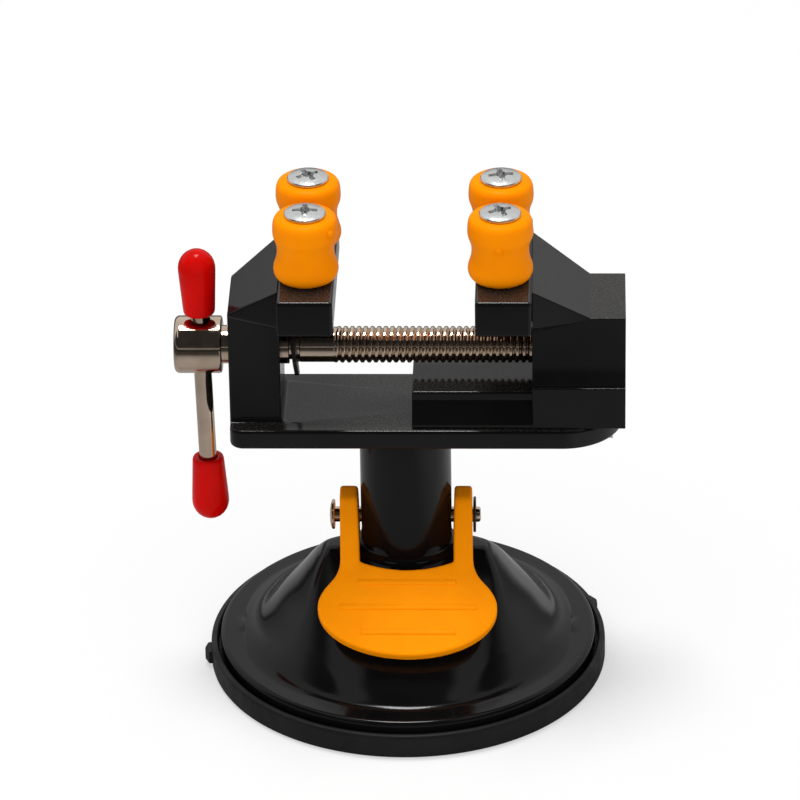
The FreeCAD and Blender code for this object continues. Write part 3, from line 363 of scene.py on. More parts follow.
class Shader(Graph):
    """One material: a Principled surface with object-space detail added to it."""

    def __init__(self, name, color, **values):
        self.material = bpy.data.materials.new(name)
        self.material.use_nodes = True
        super().__init__(self.material.node_tree)
        self.surface = self.tree.nodes["Principled BSDF"]
        self.surface.inputs["Base Color"].default_value = (*color, 1)
        for socket, value in values.items():
            self.surface.inputs[socket.replace("_", " ")].default_value = value
        self.place = self.node("ShaderNodeTexCoord").outputs["Object"]
        self.color = color

    def noise(self, size, detail=2.0):
        """Noise whose blotches are about size millimetres across."""
        noise = self.node("ShaderNodeTexNoise", Vector=self.place, Scale=1 / (size * MM),
                          Detail=detail)
        return noise.outputs["Fac"]

    def vary_roughness(self, size, low, high):
        share = self.noise(size, detail=3.0)
        self.feed(self.surface.inputs["Roughness"], self.spread(share, low, high))

    def blend(self, share, first, second):
        """A mix of two colours, each given as three numbers or as a socket."""
        mix = self.tree.nodes.new("ShaderNodeMix")
        mix.data_type = "RGBA"
        self.feed(mix.inputs[0], share)
        for socket, value in ((mix.inputs[6], first), (mix.inputs[7], second)):
            self.feed(socket, value if isinstance(value, bpy.types.NodeSocket) else (*value, 1))
        return mix.outputs[2]

    def vary_color(self, size, other):
        share = self.spread(self.noise(size, detail=3.0), 0, 1)
        self.tint = self.blend(share, self.color, other)
        self.feed(self.surface.inputs["Base Color"], self.tint)

    def dust(self, size, color):
        """Fine dust that settles on the faces that look up."""
        normal = self.node("ShaderNodeNewGeometry").outputs["Normal"]
        upward = self.node("ShaderNodeSeparateXYZ", Vector=normal).outputs["Z"]
        level = self.spread(upward, 0, 1, 0.75, 0.95)
        specks = self.spread(self.noise(size, detail=4.0), 0.15, 1, 0.4, 0.65)
        share = self.calc("MULTIPLY", level, specks)
        self.feed(self.surface.inputs["Base Color"], self.blend(share, self.tint, color))

    def relief(self, *layers):
        """Fine relief from layers of (blotch size, height in millimetres)."""
        normal = None
        for size, height in layers:
            bump = self.node("ShaderNodeBump", Height=self.noise(size), Strength=1.0,
                             Distance=height * MM)
            if normal:
                self.feed(bump.inputs["Normal"], normal)
            normal = bump.outputs[0]
        self.feed(self.surface.inputs["Normal"], normal)


def make_materials():
    made = {}

    enamel = Shader("gloss enamel", (0.003, 0.003, 0.0033), Specular_IOR_Level=0.24)
    enamel.vary_roughness(5.0, 0.07, 0.14)
    enamel.vary_color(14.0, (0.0045, 0.0043, 0.0042))
    enamel.relief((1.4, 0.003), (9.0, 0.02))
    enamel.dust(0.35, (0.032, 0.03, 0.028))
    made["paint_black"] = enamel

    cover = Shader("gloss moulding", (0.003, 0.003, 0.0032), Specular_IOR_Level=0.2)
    cover.vary_roughness(7.0, 0.08, 0.16)
    cover.vary_color(20.0, (0.0042, 0.004, 0.004))
    cover.relief((2.2, 0.006), (12.0, 0.03))
    made["plastic_black"] = cover

    rubber = Shader("black rubber", (0.005, 0.005, 0.0055), Specular_IOR_Level=0.22)
    rubber.vary_roughness(3.0, 0.42, 0.6)
    rubber.vary_color(9.0, (0.009, 0.009, 0.0095))
    rubber.relief((0.35, 0.02), (4.0, 0.03))
    made["rubber_black"] = rubber

    lever = Shader("orange moulding", (1.0, 0.3, 0.0), Specular_IOR_Level=0.04)
    lever.vary_roughness(1.0, 0.46, 0.62)
    lever.vary_color(6.0, (0.95, 0.275, 0.0))
    lever.relief((0.28, 0.022), (0.9, 0.015))
    made["plastic_orange"] = lever

    peg = Shader("soft orange", (1.0, 0.285, 0.0), Specular_IOR_Level=0.03)
    peg.vary_roughness(3.0, 0.3, 0.42)
    peg.vary_color(5.0, (0.97, 0.265, 0.0))
    peg.relief((2.0, 0.03), (0.5, 0.004))
    made["rubber_orange"] = peg

    vinyl = Shader("red vinyl", (0.66, 0.002, 0.0005), Specular_IOR_Level=0.08)
    vinyl.vary_roughness(3.0, 0.14, 0.26)
    vinyl.vary_color(6.0, (0.5, 0.002, 0.001))
    vinyl.relief((2.5, 0.04), (0.6, 0.004))
    made["vinyl_red"] = vinyl

    nickel = Shader("nickel plate", (0.66, 0.53, 0.42), Metallic=1.0)
    nickel.vary_roughness(1.2, 0.05, 0.13)
    nickel.vary_color(3.0, (0.56, 0.44, 0.34))
    nickel.relief((0.5, 0.004), (4.0, 0.02))
    made["nickel"] = nickel

    blued = Shader("blued spring steel", (0.07, 0.065, 0.06), Metallic=1.0)
    blued.vary_roughness(0.8, 0.28, 0.42)
    blued.vary_color(1.5, (0.04, 0.038, 0.037))
    blued.relief((0.4, 0.006))
    made["spring_steel"] = blued

    zinc = Shader("zinc plate", (0.68, 0.69, 0.68), Metallic=1.0)
    zinc.vary_roughness(0.8, 0.2, 0.36)
    zinc.vary_color(1.6, (0.56, 0.57, 0.57))
    zinc.relief((0.35, 0.008), (2.0, 0.03))
    made["zinc"] = zinc

    acetal = Shader("white acetal", (0.75, 0.74, 0.7), Specular_IOR_Level=0.45)
    acetal.vary_roughness(2.0, 0.3, 0.45)
    acetal.vary_color(5.0, (0.7, 0.69, 0.65))
    acetal.relief((0.5, 0.006))
    made["plastic_white"] = acetal

    return {slot: shader.material for slot, shader in made.items()}


MATERIALS = make_materials()

# ------------------------------------------------------------------ suction base


def soft_min(a, b, blend):
    """The lower of two heights, with a rounded change from one to the other."""
    h = max(blend - abs(a - b), 0.0) / blend
    return min(a, b) - h * h * blend / 4


def soft_max(a, b, blend):
    return -soft_min(-a, -b, blend)


# the dome's outline as points (radius, height)
DOME = spline([(13.2, 25.1), (15.3, 24.3), (17.0, 22.3), (19.0, 19.6), (21.6, 16.1), (24.4, 12.7),
               (27.0, 9.6), (29.2, 7.3), (31.0, 5.9), (34.0, 4.0)], 10)


def dome_height(r):
    if r <= DOME[0].x:
        return DOME[0].y
    for a, b in zip(DOME, DOME[1:]):
        if r <= b.x:
            return a.y + (b.y - a.y) * (r - a.x) / (b.x - a.x)
    return DOME[-1].y


def cover_height(x, y):
    """Height of the moulding's top: a dome cut by a sloping face in front and one behind."""
    shoulder_blend, face_blend = 0.8, 0.9
    bulge, bulge_start, bulge_length = 1.3, 20, 6
    r = math.hypot(x, y)
    foot = math.sqrt(max(FLANK_RADIUS ** 2 - x * x, 0.0))
    # 0 in front and behind, rising to 1 at the sides
    side = min(1.0, abs(x) / max(r, 1.0) / 0.9)
    # in front and behind the dome's skirt stands out a little, so that the faces cut it
    skirt = bulge * (1 - side ** 3) * min(1.0, max(0.0, (r - bulge_start) / bulge_length))
    height = soft_min(dome_height(r - skirt), SHOULDER, shoulder_blend)
    height = soft_min(height, FLANGE_TOP + FACE_RISE * (foot - abs(y)), face_blend)
    # the fillet along the flange is wide at the sides and tight under the sloping faces
    return soft_max(height, FLANGE_TOP, 0.75 + 1.6 * side ** 3)


def cover_normal(x, y):
    """The direction that the moulding's top faces at a place."""
    reach = 0.02
    slope_x = (cover_height(x + reach, y) - cover_height(x - reach, y)) / (2 * reach)
    slope_y = (cover_height(x, y + reach) - cover_height(x, y - reach)) / (2 * reach)
    return Vector((-slope_x, -slope_y, 1)).normalized()


def make_cover():
    """The cover as rings from the post out to the flange's foot, with their true normals."""
    turns = 320
    rim, rim_steps = 0.9, 6
    # each ring's kind and radius, with the rim's angle or the height of the side's foot
    rows = [("top", POST_RADIUS - 0.6 + 0.3 * step, 0.0) for step in range(84)]
    rows += [("top", radius, 0.0) for radius in (33.4, 34.0, 34.5)]
    rows += [("rim", COVER_RADIUS - rim, math.pi / 2 * step / rim_steps)
             for step in range(rim_steps + 1)]
    rows.append(("side", COVER_RADIUS, cover_low.z))
    bm = bmesh.new()
    normals = []
    grid = []
    for kind, r, value in rows:
        ring = []
        for step in range(turns):
            angle = math.tau * step / turns
            across = Vector((math.cos(angle), math.sin(angle), 0))
            if kind == "top":
                x, y = across.x * r, across.y * r
                point = Vector((x, y, cover_height(x, y)))
                normal = cover_normal(x, y)
            elif kind == "rim":
                normal = across * math.sin(value) + Vector((0, 0, math.cos(value)))
                point = across * r + Vector((0, 0, FLANGE_TOP - rim)) + normal * rim
            else:
                normal = across
                point = across * r + Vector((0, 0, value))
            ring.append(bm.verts.new(point))
            normals.append(normal)
        grid.append(ring)
    for low, high in zip(grid, grid[1:]):
        for step in range(turns):
            after = (step + 1) % turns
            bm.faces.new((low[step], high[step], high[after], low[after]))
    cover = as_object(bm, "cover_shell")
    finish(cover, "base", "plastic_black", ["base_cover"], weighted=False)
    cover.data.normals_split_custom_set_from_vertices(normals)


def make_post():
    """The post: a tube with a fillet at its foot, a web inside and a slot for the pin."""
    top, foot = PLATE_BOTTOM, SHOULDER - 1
    upper_bore, lower_bore, web_hole = 6.4, 6.3, 2.2
    fillet, fillet_steps = 1.3, 6
    outline = []
    for step in range(fillet_steps + 1):
        angle = math.pi / 2 * step / fillet_steps
        outline.append((POST_RADIUS + fillet - fillet * math.sin(angle),
                        SHOULDER - 0.1 + fillet - fillet * math.cos(angle)))
    outline += [(POST_RADIUS, SHOULDER + 6), (POST_RADIUS, top - 6), (POST_RADIUS, top - 0.6),
                (POST_RADIUS - 0.15, top - 0.2), (POST_RADIUS - 0.5, top), (upper_bore, top),
                (upper_bore, WEB_TOP), (web_hole, WEB_TOP), (web_hole, WEB_BOTTOM),
                (lower_bore, WEB_BOTTOM), (lower_bore, foot), (POST_RADIUS + fillet, foot)]
    post = lathe("post_tube", outline, turns=128, closed=True)
    # the pin moves down in the slot with the stem
    half, down = 1.55, 2.0
    slot = rounded_box(-half, PIN_HEIGHT - half - down, half, PIN_HEIGHT + half, 1.4)
    cut(post, prism("slot", slot, "x", -12, 12))
    finish(post, "base", "plastic_black", ["base_cover"])


def make_cup():
    """The cup: a dished disc with a rim around the cover, a boss and two pull tabs."""
    radius, rounding, lip = 37.7, 0.7, 0.8
    outline = [(0, 2.4), (11, 2.4), (20, 1.5), (33.5, 0.1), (33.9, 0), (37.0, 0)]
    outline += [(radius - rounding + rounding * math.sin(a), rounding - rounding * math.cos(a))
                for a in (0.4, 0.8, 1.2, 1.57)]
    outline += [(radius, 2.0), (radius, 3.9)]
    outline += [(radius - rounding + rounding * math.cos(a), 4.0 + lip * math.sin(a))
                for a in (0.35, 0.7, 1.05, 1.4)]
    outline += [(36.65, 4.75), (36.4, 4.5), (36.38, 3.6), (36.38, 2.6), (31.3, 2.6), (13.0, 3.8),
                (11.0, 4.8), (11.0, 9.3), (4.3, 9.3), (4.3, 7.5), (8.4, 7.5), (8.4, 3.6), (0, 3.6)]
    cup = lathe("cup_disc", outline, turns=192)
    tab_outline = [(36.4, -2.0), (38.35, -1.95), (38.95, -0.15), (38.95, 0.15),
                   (38.35, 1.95), (36.4, 2.0)]
    for turn in (22, 185.5):
        tab = prism("tab", tab_outline, "z", 1.0, 3.6, 0.25)
        tab.data.transform(Matrix.Rotation(math.radians(turn), 4, "Z"))
        join(cup, tab)
    finish(cup, "base", "rubber_black", ["suction_cup"], sharp=40)


# ------------------------------------------------------------------ lever and pin


LEVER_TILT = math.radians(37.6)
PADDLE_START = Vector((0, -12.5, 26.0))


def skew(obj):
    """The fork sits a little askew on its pin, so its paddle stands off to the right."""
    slant, start = 0.032, 2
    for vert in obj.data.vertices:
        vert.co.x += slant * max(0.0, -vert.co.y - start)


def make_arms():
    """The fork's two arms, which get wider downwards on their inner sides."""
    inner, outer = 9.1, 12.5
    widening, level = 0.03, 34.9
    outline = rounded([(0.5, 36.9, 2.0), (-3.3, 36.3, 2.0), (-12.5, 26.1, 6), (-15.67, 23.56),
                       (-14.08, 21.5), (-10.91, 23.94, 3), (-7.0, 25.45, 3), (0, 25.45, 0.5),
                       (2.2, 26.6, 0.5), (3.25, 29.7, 0.5), (3.3, 35.0, 2.4)], 5)
    arms = []
    for side in (1, -1):
        bm = bmesh.new()
        add_prism(bm, outline, "x", inner * side, outer * side)
        for vert in bm.verts:
            if abs(vert.co.x) < (inner + outer) / 2:
                vert.co.x = side * (inner - widening * (level - vert.co.z))
        soften(bm, 0.45)
        arms.append(as_object(bm, "arm"))
    return arms


def make_paddle():
    """The paddle lying flat, with a hollow throat between the arms."""
    half, shoulder, reach, arc_steps = 16.85, -7.5, 9.7, 48
    throat_half, throat_depth, throat_steps = 9.15, 1.81, 16
    back, throat_back, thickness = 2.6, 1.9, 2.6
    side = spline([(12.5, back), (12.6, 1.2), (12.86, 0.2), (13.35, -1.0), (14.3, -2.3),
                   (15.4, -3.6), (16.3, -5.1), (16.76, -6.4), (half, shoulder)], 4)
    angles = [math.pi * step / arc_steps for step in range(1, arc_steps)]
    arc = [Vector((half * math.cos(a), shoulder - reach * math.sin(a))) for a in angles]
    across = [-throat_half + 2 * throat_half * step / throat_steps
              for step in range(throat_steps + 1)]
    throat = [Vector((x, throat_back - throat_depth * (1 - (x / throat_half) ** 2)))
              for x in across]
    outline = side + arc + [Vector((-p.x, p.y)) for p in reversed(side)]
    outline += [Vector((-throat_half, back))] + throat + [Vector((throat_half, back))]
    return prism("paddle", outline, "z", -thickness, 0.04, 0.6, 4)


def make_lever():
    """The fork as one skin with a hole for its pin, and three low ribs on the paddle."""
    arms = make_arms()
    paddle = make_paddle()
    tilt = Matrix.Translation(PADDLE_START) @ Matrix.Rotation(LEVER_TILT, 4, "X")
    paddle.data.transform(tilt)
    lever = melt("lever_fork", arms + [paddle], voxel=0.22, rounds=7)
    cut(lever, rod("hole", 1.51, -14, 14, "x", PIN_AXIS, 32))
    skew(lever)
    finish(lever, "lever", "plastic_orange", ["suction_lever"], weighted=False)
    # each rib has a sloping upper side and a steeper lower one
    profile = [(-0.62, -0.3), (-0.58, 0.04), (-0.44, 0.26), (-0.2, 0.33), (0.2, 0.28),
               (0.75, -0.02), (0.8, -0.3)]
    for name, middle, half in (("upper", -2.5, 9.2), ("middle", -7.5, 12.9), ("lower", -12.5, 8.9)):
        rib = prism("rib_" + name, [(middle + y, z) for y, z in profile], "x", -half, half, 0.12, 2)
        rib.data.transform(tilt)
        skew(rib)
        finish(rib, "lever", "plastic_orange", ["suction_lever"], sharp=60)


def make_pin():
    """The lever's pin with its domed head, and the push-on clip on its other end."""
    head, end = pin_low.x, pin_high.x
    head_radius, dome, shank, groove = 2.85, 0.62, 1.45, 1.1
    profile = [(0, head)]
    profile += [(head_radius * math.sin(a), head + dome - dome * math.cos(a))
                for a in (0.2, 0.45, 0.7, 0.95, 1.2, 1.4)]
    profile += [(head_radius, head + 0.75), (2.75, head + 0.95), (2.6, head + 1.0),
                (shank, head + 1.0), (shank, push_clip_low.x), (groove, push_clip_low.x),
                (groove, push_clip_high.x), (shank, push_clip_high.x), (shank, end - 0.4),
                (1.3, end - 0.12), (1.05, end), (0, end)]
    pin = lathe("pin", profile, "x", PIN_AXIS, 48)
    finish(pin, "stem", "nickel", ["pivot_pin"])

    # the clip is a washer with a scalloped hole
    clip = prism("push_clip", polar([3.4] * 48), "x", push_clip_low.x, push_clip_high.x, 0.15, 2)
    scallops = polar([1.12 + 0.5 * (index % 6 < 2) for index in range(36)])
    cut(clip, prism("inner", scallops, "x", push_clip_low.x - 1, push_clip_high.x + 1))
    move(clip, z=PIN_HEIGHT)
    finish(clip, "stem", "spring_steel", ["pin_clip"])


# ------------------------------------------------------------------ vise castings


def solid(name, points, faces, bevel):
    """A solid with flat faces, from named points and faces that spell their points' names."""
    bm = bmesh.new()
    made = {key: bm.verts.new(place) for key, place in points.items()}
    for face in faces:
        bm.faces.new([made[key] for key in face])
    soften(bm, bevel, angle=8)
    return as_object(bm, name)


def mirrored(points):
    """Front points, named by letters, and their mirror images, named in capitals."""
    out = {}
    for key, (x, y, z) in points.items():
        out[key] = (x, y, z)
        out[key.upper()] = (x, -y, z)
    return out


def both(*faces):
    """Front faces with their mirror images."""
    return list(faces) + [face.upper() for face in faces]


def make_nose(left, right):
    return block("nose", (left, -NOSE_HALF, NOSE_BOTTOM), (right, NOSE_HALF, NOSE_TOP), CAST_EDGE)


def make_bridge(x):
    """A block inside the seam between an upright and its nose, so that the two join up."""
    reach, half = 1.5, 10.5
    return block("bridge", (x - reach, -half, NOSE_BOTTOM + 0.7), (x + reach, half, WALL_TOP - 2.0))


def make_root_fillet():
    """The hollow rounding around the fixed upright's foot; its left side is flush."""
    radius, steps, corner_steps, bite = 1.1, 8, 6, 0.02
    left, right, half = FIXED_LEFT + 0.3, FIXED_WALL, FIXED_HALF
    bm = bmesh.new()
    rings = []
    for step in range(steps + 1):
        angle = math.pi / 2 * step / steps
        offset = radius * (1 - math.sin(angle)) - bite
        z = PLATE_TOP - bite + radius * (1 - math.cos(angle))
        ring = [(left, -half - offset)]
        for centre_y, start in ((-half, -math.pi / 2), (half, 0.0)):
            for turn in range(corner_steps + 1):
                around = start + math.pi / 2 * turn / corner_steps
                ring.append((right + offset * math.cos(around),
                             centre_y + offset * math.sin(around)))
        ring.append((left, half + offset))
        rings.append([bm.verts.new((x, y, z)) for x, y in ring])
    count = len(rings[0])
    for low, high in zip(rings, rings[1:]):
        for index in range(count):
            after = (index + 1) % count
            bm.faces.new((low[index], low[after], high[after], high[index]))
    bm.faces.new(rings[0])
    bm.faces.new(rings[-1])
    bmesh.ops.recalc_face_normals(bm, faces=bm.faces)
    return as_object(bm, "root_fillet")


def make_vise_casting():
    """The base plate with its slot, the fixed upright and nose, and the spigot below."""
    left_corner, right_corner = 2.5, 11.2
    outline = rounded([(FIXED_LEFT, -PLATE_HALF, left_corner),
                       (PLATE_RIGHT, -PLATE_HALF, right_corner),
                       (PLATE_RIGHT, PLATE_HALF, right_corner),
                       (FIXED_LEFT, PLATE_HALF, left_corner)], 16)
    casting = prism("vise_casting", outline, "z", PLATE_BOTTOM, PLATE_TOP, 0.6)
    points = mirrored({
        "a": (FIXED_LEFT, -FIXED_HALF, PLATE_TOP - 1),
        "b": (FIXED_WALL, -FIXED_HALF, PLATE_TOP - 1),
        "c": (FIXED_WALL, -FIXED_HALF, FLARE_BOTTOM - FLARE_DROP),
        "d": (FIXED_LEFT, -FIXED_HALF, FLARE_BOTTOM),
        "e": (FIXED_WALL, -FLARE_HALF, FLARE_BOTTOM),
        "f": (FIXED_LEFT, -FIXED_HALF, WALL_TOP - 7.0),
        "g": (FIXED_WALL, -FLARE_HALF, WALL_TOP),
    })
    faces = both("abcd", "dce", "degf") + ["fgGF", "bcegGECB", "adfFDA", "abBA"]
    wall = solid("upright", points, faces, CAST_EDGE)
    nose = make_nose(FIXED_WALL, FIXED_WALL + NOSE_LENGTH)
    spigot = rod("spigot", 6.3, vise_low.z, PLATE_BOTTOM + 1)
    join(casting, wall, make_root_fillet(), nose, make_bridge(FIXED_WALL), spigot)
    slot_left, slot_right, slot_half = 10.5, 39.3, 2.16
    key_slot = prism("key_slot", rounded_box(slot_left, -slot_half, slot_right, slot_half, 0.2),
                     "z", PLATE_BOTTOM - 1, PLATE_TOP + 1)
    bore = rod("bore", 3.66, FIXED_LEFT - 1, FIXED_WALL + 1, "x", SCREW_AXIS)
    cut(casting, key_slot, bore)
    finish(casting, "vise", "paint_black", ["vise_body"])


def make_jaw_casting():
    """The moving jaw: block, flared head and nose, the long shoe and the key in the slot."""
    wall, right = JAW_WALL, JAW_RIGHT
    low, high, flare = -10.4, -9.0, -FLARE_HALF
    slope_end = wall + 10.7
    flat = WALL_TOP - 7.1
    band_top = BLOCK_TOP + 4.2
    points = {
        "a": (wall, low, JAW_BOTTOM), "b": (right, low, JAW_BOTTOM),
        "c": (wall, low, BLOCK_TOP), "d": (right, low, BLOCK_TOP),
        "e": (wall, high, band_top), "f": (right, high, band_top),
        "g": (wall, high, FLARE_BOTTOM - FLARE_DROP), "h": (slope_end, high, FLARE_BOTTOM),
        "i": (wall, flare, FLARE_BOTTOM), "j": (slope_end, high, flat),
        "k": (right, high, flat), "l": (wall, flare, WALL_TOP),
    }
    # the steep band between the block and the narrower head ends in a small hollow below
    for pair, y, z in (("mr", -10.2, 0.02), ("ns", -10.02, 0.12), ("ot", -9.88, 0.32),
                       ("pu", -9.8, 0.6), ("qv", -9.72, 1.0)):
        points[pair[0]] = (wall, y, BLOCK_TOP + z)
        points[pair[1]] = (right, y, BLOCK_TOP + z)
    faces = both("abdc", "cdrm", "mrsn", "nsto", "otup", "puvq", "qvfe", "efkjhg", "ghi", "ihjl")
    faces += ["jkKJ", "ljJL", "acmnopqegilLIGEQPONMCA", "bdrstuvfkKFVUTSRDB", "abBA"]
    jaw = solid("jaw_casting", mirrored(points), faces, CAST_EDGE)
    foot_half, top_half, edge = 10.4, 8.3, 0.4
    shoe_outline = rounded([(-foot_half, JAW_BOTTOM), (foot_half, JAW_BOTTOM),
                            (foot_half, JAW_BOTTOM + 0.8, edge), (top_half, SHOE_TOP - 1.7, edge),
                            (top_half, SHOE_TOP, 0.45), (-top_half, SHOE_TOP, 0.45),
                            (-top_half, SHOE_TOP - 1.7, edge),
                            (-foot_half, JAW_BOTTOM + 0.8, edge)], 3)
    bm = bmesh.new()
    add_prism(bm, shoe_outline, "x", jaw_low.x, wall + 1)
    soften(bm, 0.3, angle=60)
    shoe = as_object(bm, "shoe")
    key_left, key_right, key_half = 33.9, 38.1, 2.1
    key = block("key", (key_left, -key_half, PLATE_BOTTOM), (key_right, key_half, PLATE_TOP + 1))
    join(jaw, make_nose(wall - NOSE_LENGTH, wall), make_bridge(wall), shoe, key)
    cut(jaw, rod("bore", 3.76, wall - 1, right + 1, "x", SCREW_AXIS))
    finish(jaw, "jaw", "paint_black", ["moving_jaw"])


# ------------------------------------------------------------------ screw and handle


def make_thread():
    """The thread as a true helix: rows along the screw, each a turn that climbs one pitch."""
    pitch, crest, root, shank = 1.25, 3.7, 2.93, 3.3
    left, right = -12.8, screw_high.x
    across, along = 56, 10
    # the flanks would rise past the crest's radius, so a narrow flat is left on the crest
    overshoot = 1.06
    chamfer_length, chamfer_depth = 0.7, 0.6
    bm = bmesh.new()
    grid = []
    rows = int((right - left) / pitch + 2) * along
    for row in range(-along, rows):
        ring = []
        for step in range(across):
            angle = math.tau * step / across
            x = left + pitch * (row / along + step / across)
            phase = row / along % 1.0
            rise = min(1.0, overshoot * (1 - abs(2 * phase - 1)))
            radius = root + (crest - root) * rise
            if x < left + pitch:
                # the thread runs out into the plain shank
                fade = min(1.0, max(0.0, (x - left) / pitch + 0.25))
                radius = shank + (radius - shank) * fade
            end = max(0.0, min(1.0, (right - x) / chamfer_length))
            radius = min(radius, root - 0.1 + chamfer_depth * end)
            x = min(max(x, left - 0.3), right)
            ring.append(bm.verts.new((x, radius * math.sin(angle), radius * math.cos(angle))))
        grid.append(ring)
    for row in range(len(grid) - 1):
        for step in range(across):
            after = (step + 1) % across
            shift = along if after == 0 else 0
            if row + 1 + shift < len(grid):
                corners = [grid[row][step], grid[row + 1][step],
                           grid[row + 1 + shift][after], grid[row + shift][after]]
                bm.faces.new(corners)
    bmesh.ops.remove_doubles(bm, verts=bm.verts, dist=0.001)
    bmesh.ops.recalc_face_normals(bm, faces=bm.faces)
    bmesh.ops.translate(bm, vec=SCREW_AXIS, verts=bm.verts)
    thread = as_object(bm, "screw_thread")
    finish(thread, "screw", "nickel", ["lead_screw"], sharp=70)


def make_screw():
    """The lead screw: its thread, its end face and the plain shank with the ring's groove."""
    make_thread()
    end = screw_high.x
    tip = lathe("screw_tip", [(0, end - 0.02), (2.4, end - 0.02), (3.0, end - 0.06),
                              (3.0, end - 2), (0, end - 2)], "x", SCREW_AXIS, 48)
    finish(tip, "screw", "nickel", ["lead_screw"])

    neck = hub_high.x
    groove, groove_width = FIXED_WALL + 1.5, 1.9
    collar, shank = 3.6, 3.3
    profile = [(0, screw_low.x), (2.6, screw_low.x), (2.6, neck), (collar, neck),
               (collar, groove - 0.15), (3.45, groove), (2.8, groove),
               (2.8, groove + groove_width), (3.15, groove + groove_width),
               (shank, groove + groove_width + 0.15), (shank, -13.2), (shank, -12.6),
               (2.9, -11.8), (0, -11.8)]
    shaft = lathe("screw_shaft", profile, "x", SCREW_AXIS, 64)
    finish(shaft, "screw", "nickel", ["lead_screw"])


def make_hub():
    """The hub at the screw's end, with its collar and the cross bar's hole."""
    left, right = hub_low.x, hub_high.x
    body_right = right - 1.4
    radius, corner, collar, socket, depth = 5.4, 1.0, 3.6, 2.6, 3.4
    profile = [(0, left + 0.12), (3.9, left + 0.02), (4.3, left)]
    profile += [(radius - corner + corner * math.sin(a), left + corner - corner * math.cos(a))
                for a in (0.25, 0.55, 0.85, 1.15, 1.45)]
    profile += [(radius, left + 1.2), (radius, body_right - 0.5), (5.3, body_right - 0.15),
                (5.0, body_right), (collar, body_right), (collar, right), (socket, right),
                (socket, right - depth), (0, right - depth)]
    hub = lathe("hub", profile, "x", SCREW_AXIS, 96)
    place = (left + BAR_FROM_END, 0, SCREW_HEIGHT)
    cut(hub, rod("hole", 1.85, -8, 8, centre=place, turns=48))
    finish(hub, "screw", "nickel", ["screw_hub"])


def make_snap_ring():
    """The snap ring, sprung a little out of square in its groove."""
    outline = rounded([(-5.2, -1.2, 1.0), (-4.2, -4.4, 1.2), (-2.0, -5.3, 0.6), (-1.7, -2.6, 0.4),
                       (-2.85, 0.6, 1.6), (0, 2.95, 1.9), (2.85, 0.6, 1.6), (1.7, -2.6, 0.4),
                       (2.0, -5.3, 0.6), (4.2, -4.4, 1.2), (5.2, -1.2, 1.0), (4.3, 4.2, 3.0),
                       (0, 5.75, 4.0), (-4.3, 4.2, 3.0)], 5)
    ring = prism("snap_ring", outline, "x", -0.4, 0.4, 0.12, 2)
    middle = (clip_low.x + clip_high.x) / 2
    lean = Matrix.Rotation(math.radians(-6), 4, "Y")
    ring.data.transform(Matrix.Translation((middle, 0, SCREW_HEIGHT)) @ lean)
    finish(ring, "screw", "spring_steel", ["retaining_clip"])


def make_handle():
    """The cross bar, which hangs in the hub with a slight lean, and its two vinyl caps."""
    # heights along the bar, from the screw's axis
    upper_mouth, lower_mouth, depth = 6.7, -23.95, 9.0
    bottom, top = lower_mouth - depth, upper_mouth + depth
    radius, chamfer = 1.65, 0.4
    hang = (Matrix.Translation((hub_low.x + BAR_FROM_END, 0, SCREW_HEIGHT))
            @ Matrix.Rotation(-BAR_LEAN, 4, "Y"))
    bar = lathe("cross_bar", [(0, bottom), (radius - chamfer, bottom), (radius, bottom + chamfer),
                              (radius, top - chamfer), (radius - chamfer, top), (0, top)], turns=48)
    bar.data.transform(hang)
    finish(bar, "handle", "nickel", ["handle_bar"])
    # dip-moulded caps: a rolled mouth, sides that swell a little, and a full dome
    girth, length, dome = 3.5, 13.1, 3.7
    cap = [(1.66, depth), (1.66, 0.25), (1.9, 0.0), (2.5, -0.02), (2.85, 0.2), (2.98, 0.6),
           (3.05, 1.6), (3.18, 3.8), (3.36, 6.6), (girth, depth)]
    cap += [(girth * math.cos(a), length - dome + dome * math.sin(a))
            for a in (0.1, 0.3, 0.5, 0.7, 0.9, 1.1, 1.3, 1.45)] + [(0, length)]
    for name, mouth, flip in (("cap_upper", upper_mouth, 1), ("cap_lower", lower_mouth, -1)):
        profile = [(0, mouth + flip * depth)] + [(r, mouth + flip * h) for r, h in cap]
        obj = lathe(name + "_vinyl", profile, turns=64)
        obj.data.transform(hang)
        finish(obj, "handle", "vinyl_red", ["handle_" + name], sharp=60)


# ------------------------------------------------------------------ pegs


PEG_HEIGHT = 12.75
PEG_HOLE = 2.1
# the peg's section as points (radius, height), up its side from the hole's foot
PEG_PROFILE = [(PEG_HOLE, 0), (4.7, 0)]
PEG_PROFILE += spline([(4.9, 0.06), (5.4, 0.38), (5.82, 0.98), (6.02, 1.8), (5.93, 2.7), (5.62, 3.7),
                       (5.38, 4.7), (5.3, 5.7), (5.36, 6.76), (5.62, 7.74), (5.93, 8.61),
                       (6.05, 9.48), (6.02, 10.57), (5.9, 11.55), (5.6, 12.26), (5.1, 12.64)], 4)
PEG_PROFILE += [(4.6, PEG_HEIGHT), (PEG_HOLE, PEG_HEIGHT)]
# for each peg: turn of its screw's cross, and angle and height of its moulding gate
PEGS = {
    "fixed_front": (0, -38, 10.7),
    "fixed_rear": (30, 150, 8.5),
    "moving_front": (25, -92, 8.4),
    "moving_rear": (10, 60, 8.5),
}


def peg_radius(height):
    """The radius of the peg near a height."""
    for low, high in zip(PEG_PROFILE[1:], PEG_PROFILE[2:]):
        if low[1] <= height <= high[1]:
            return low[0]
    return PEG_PROFILE[1][0]


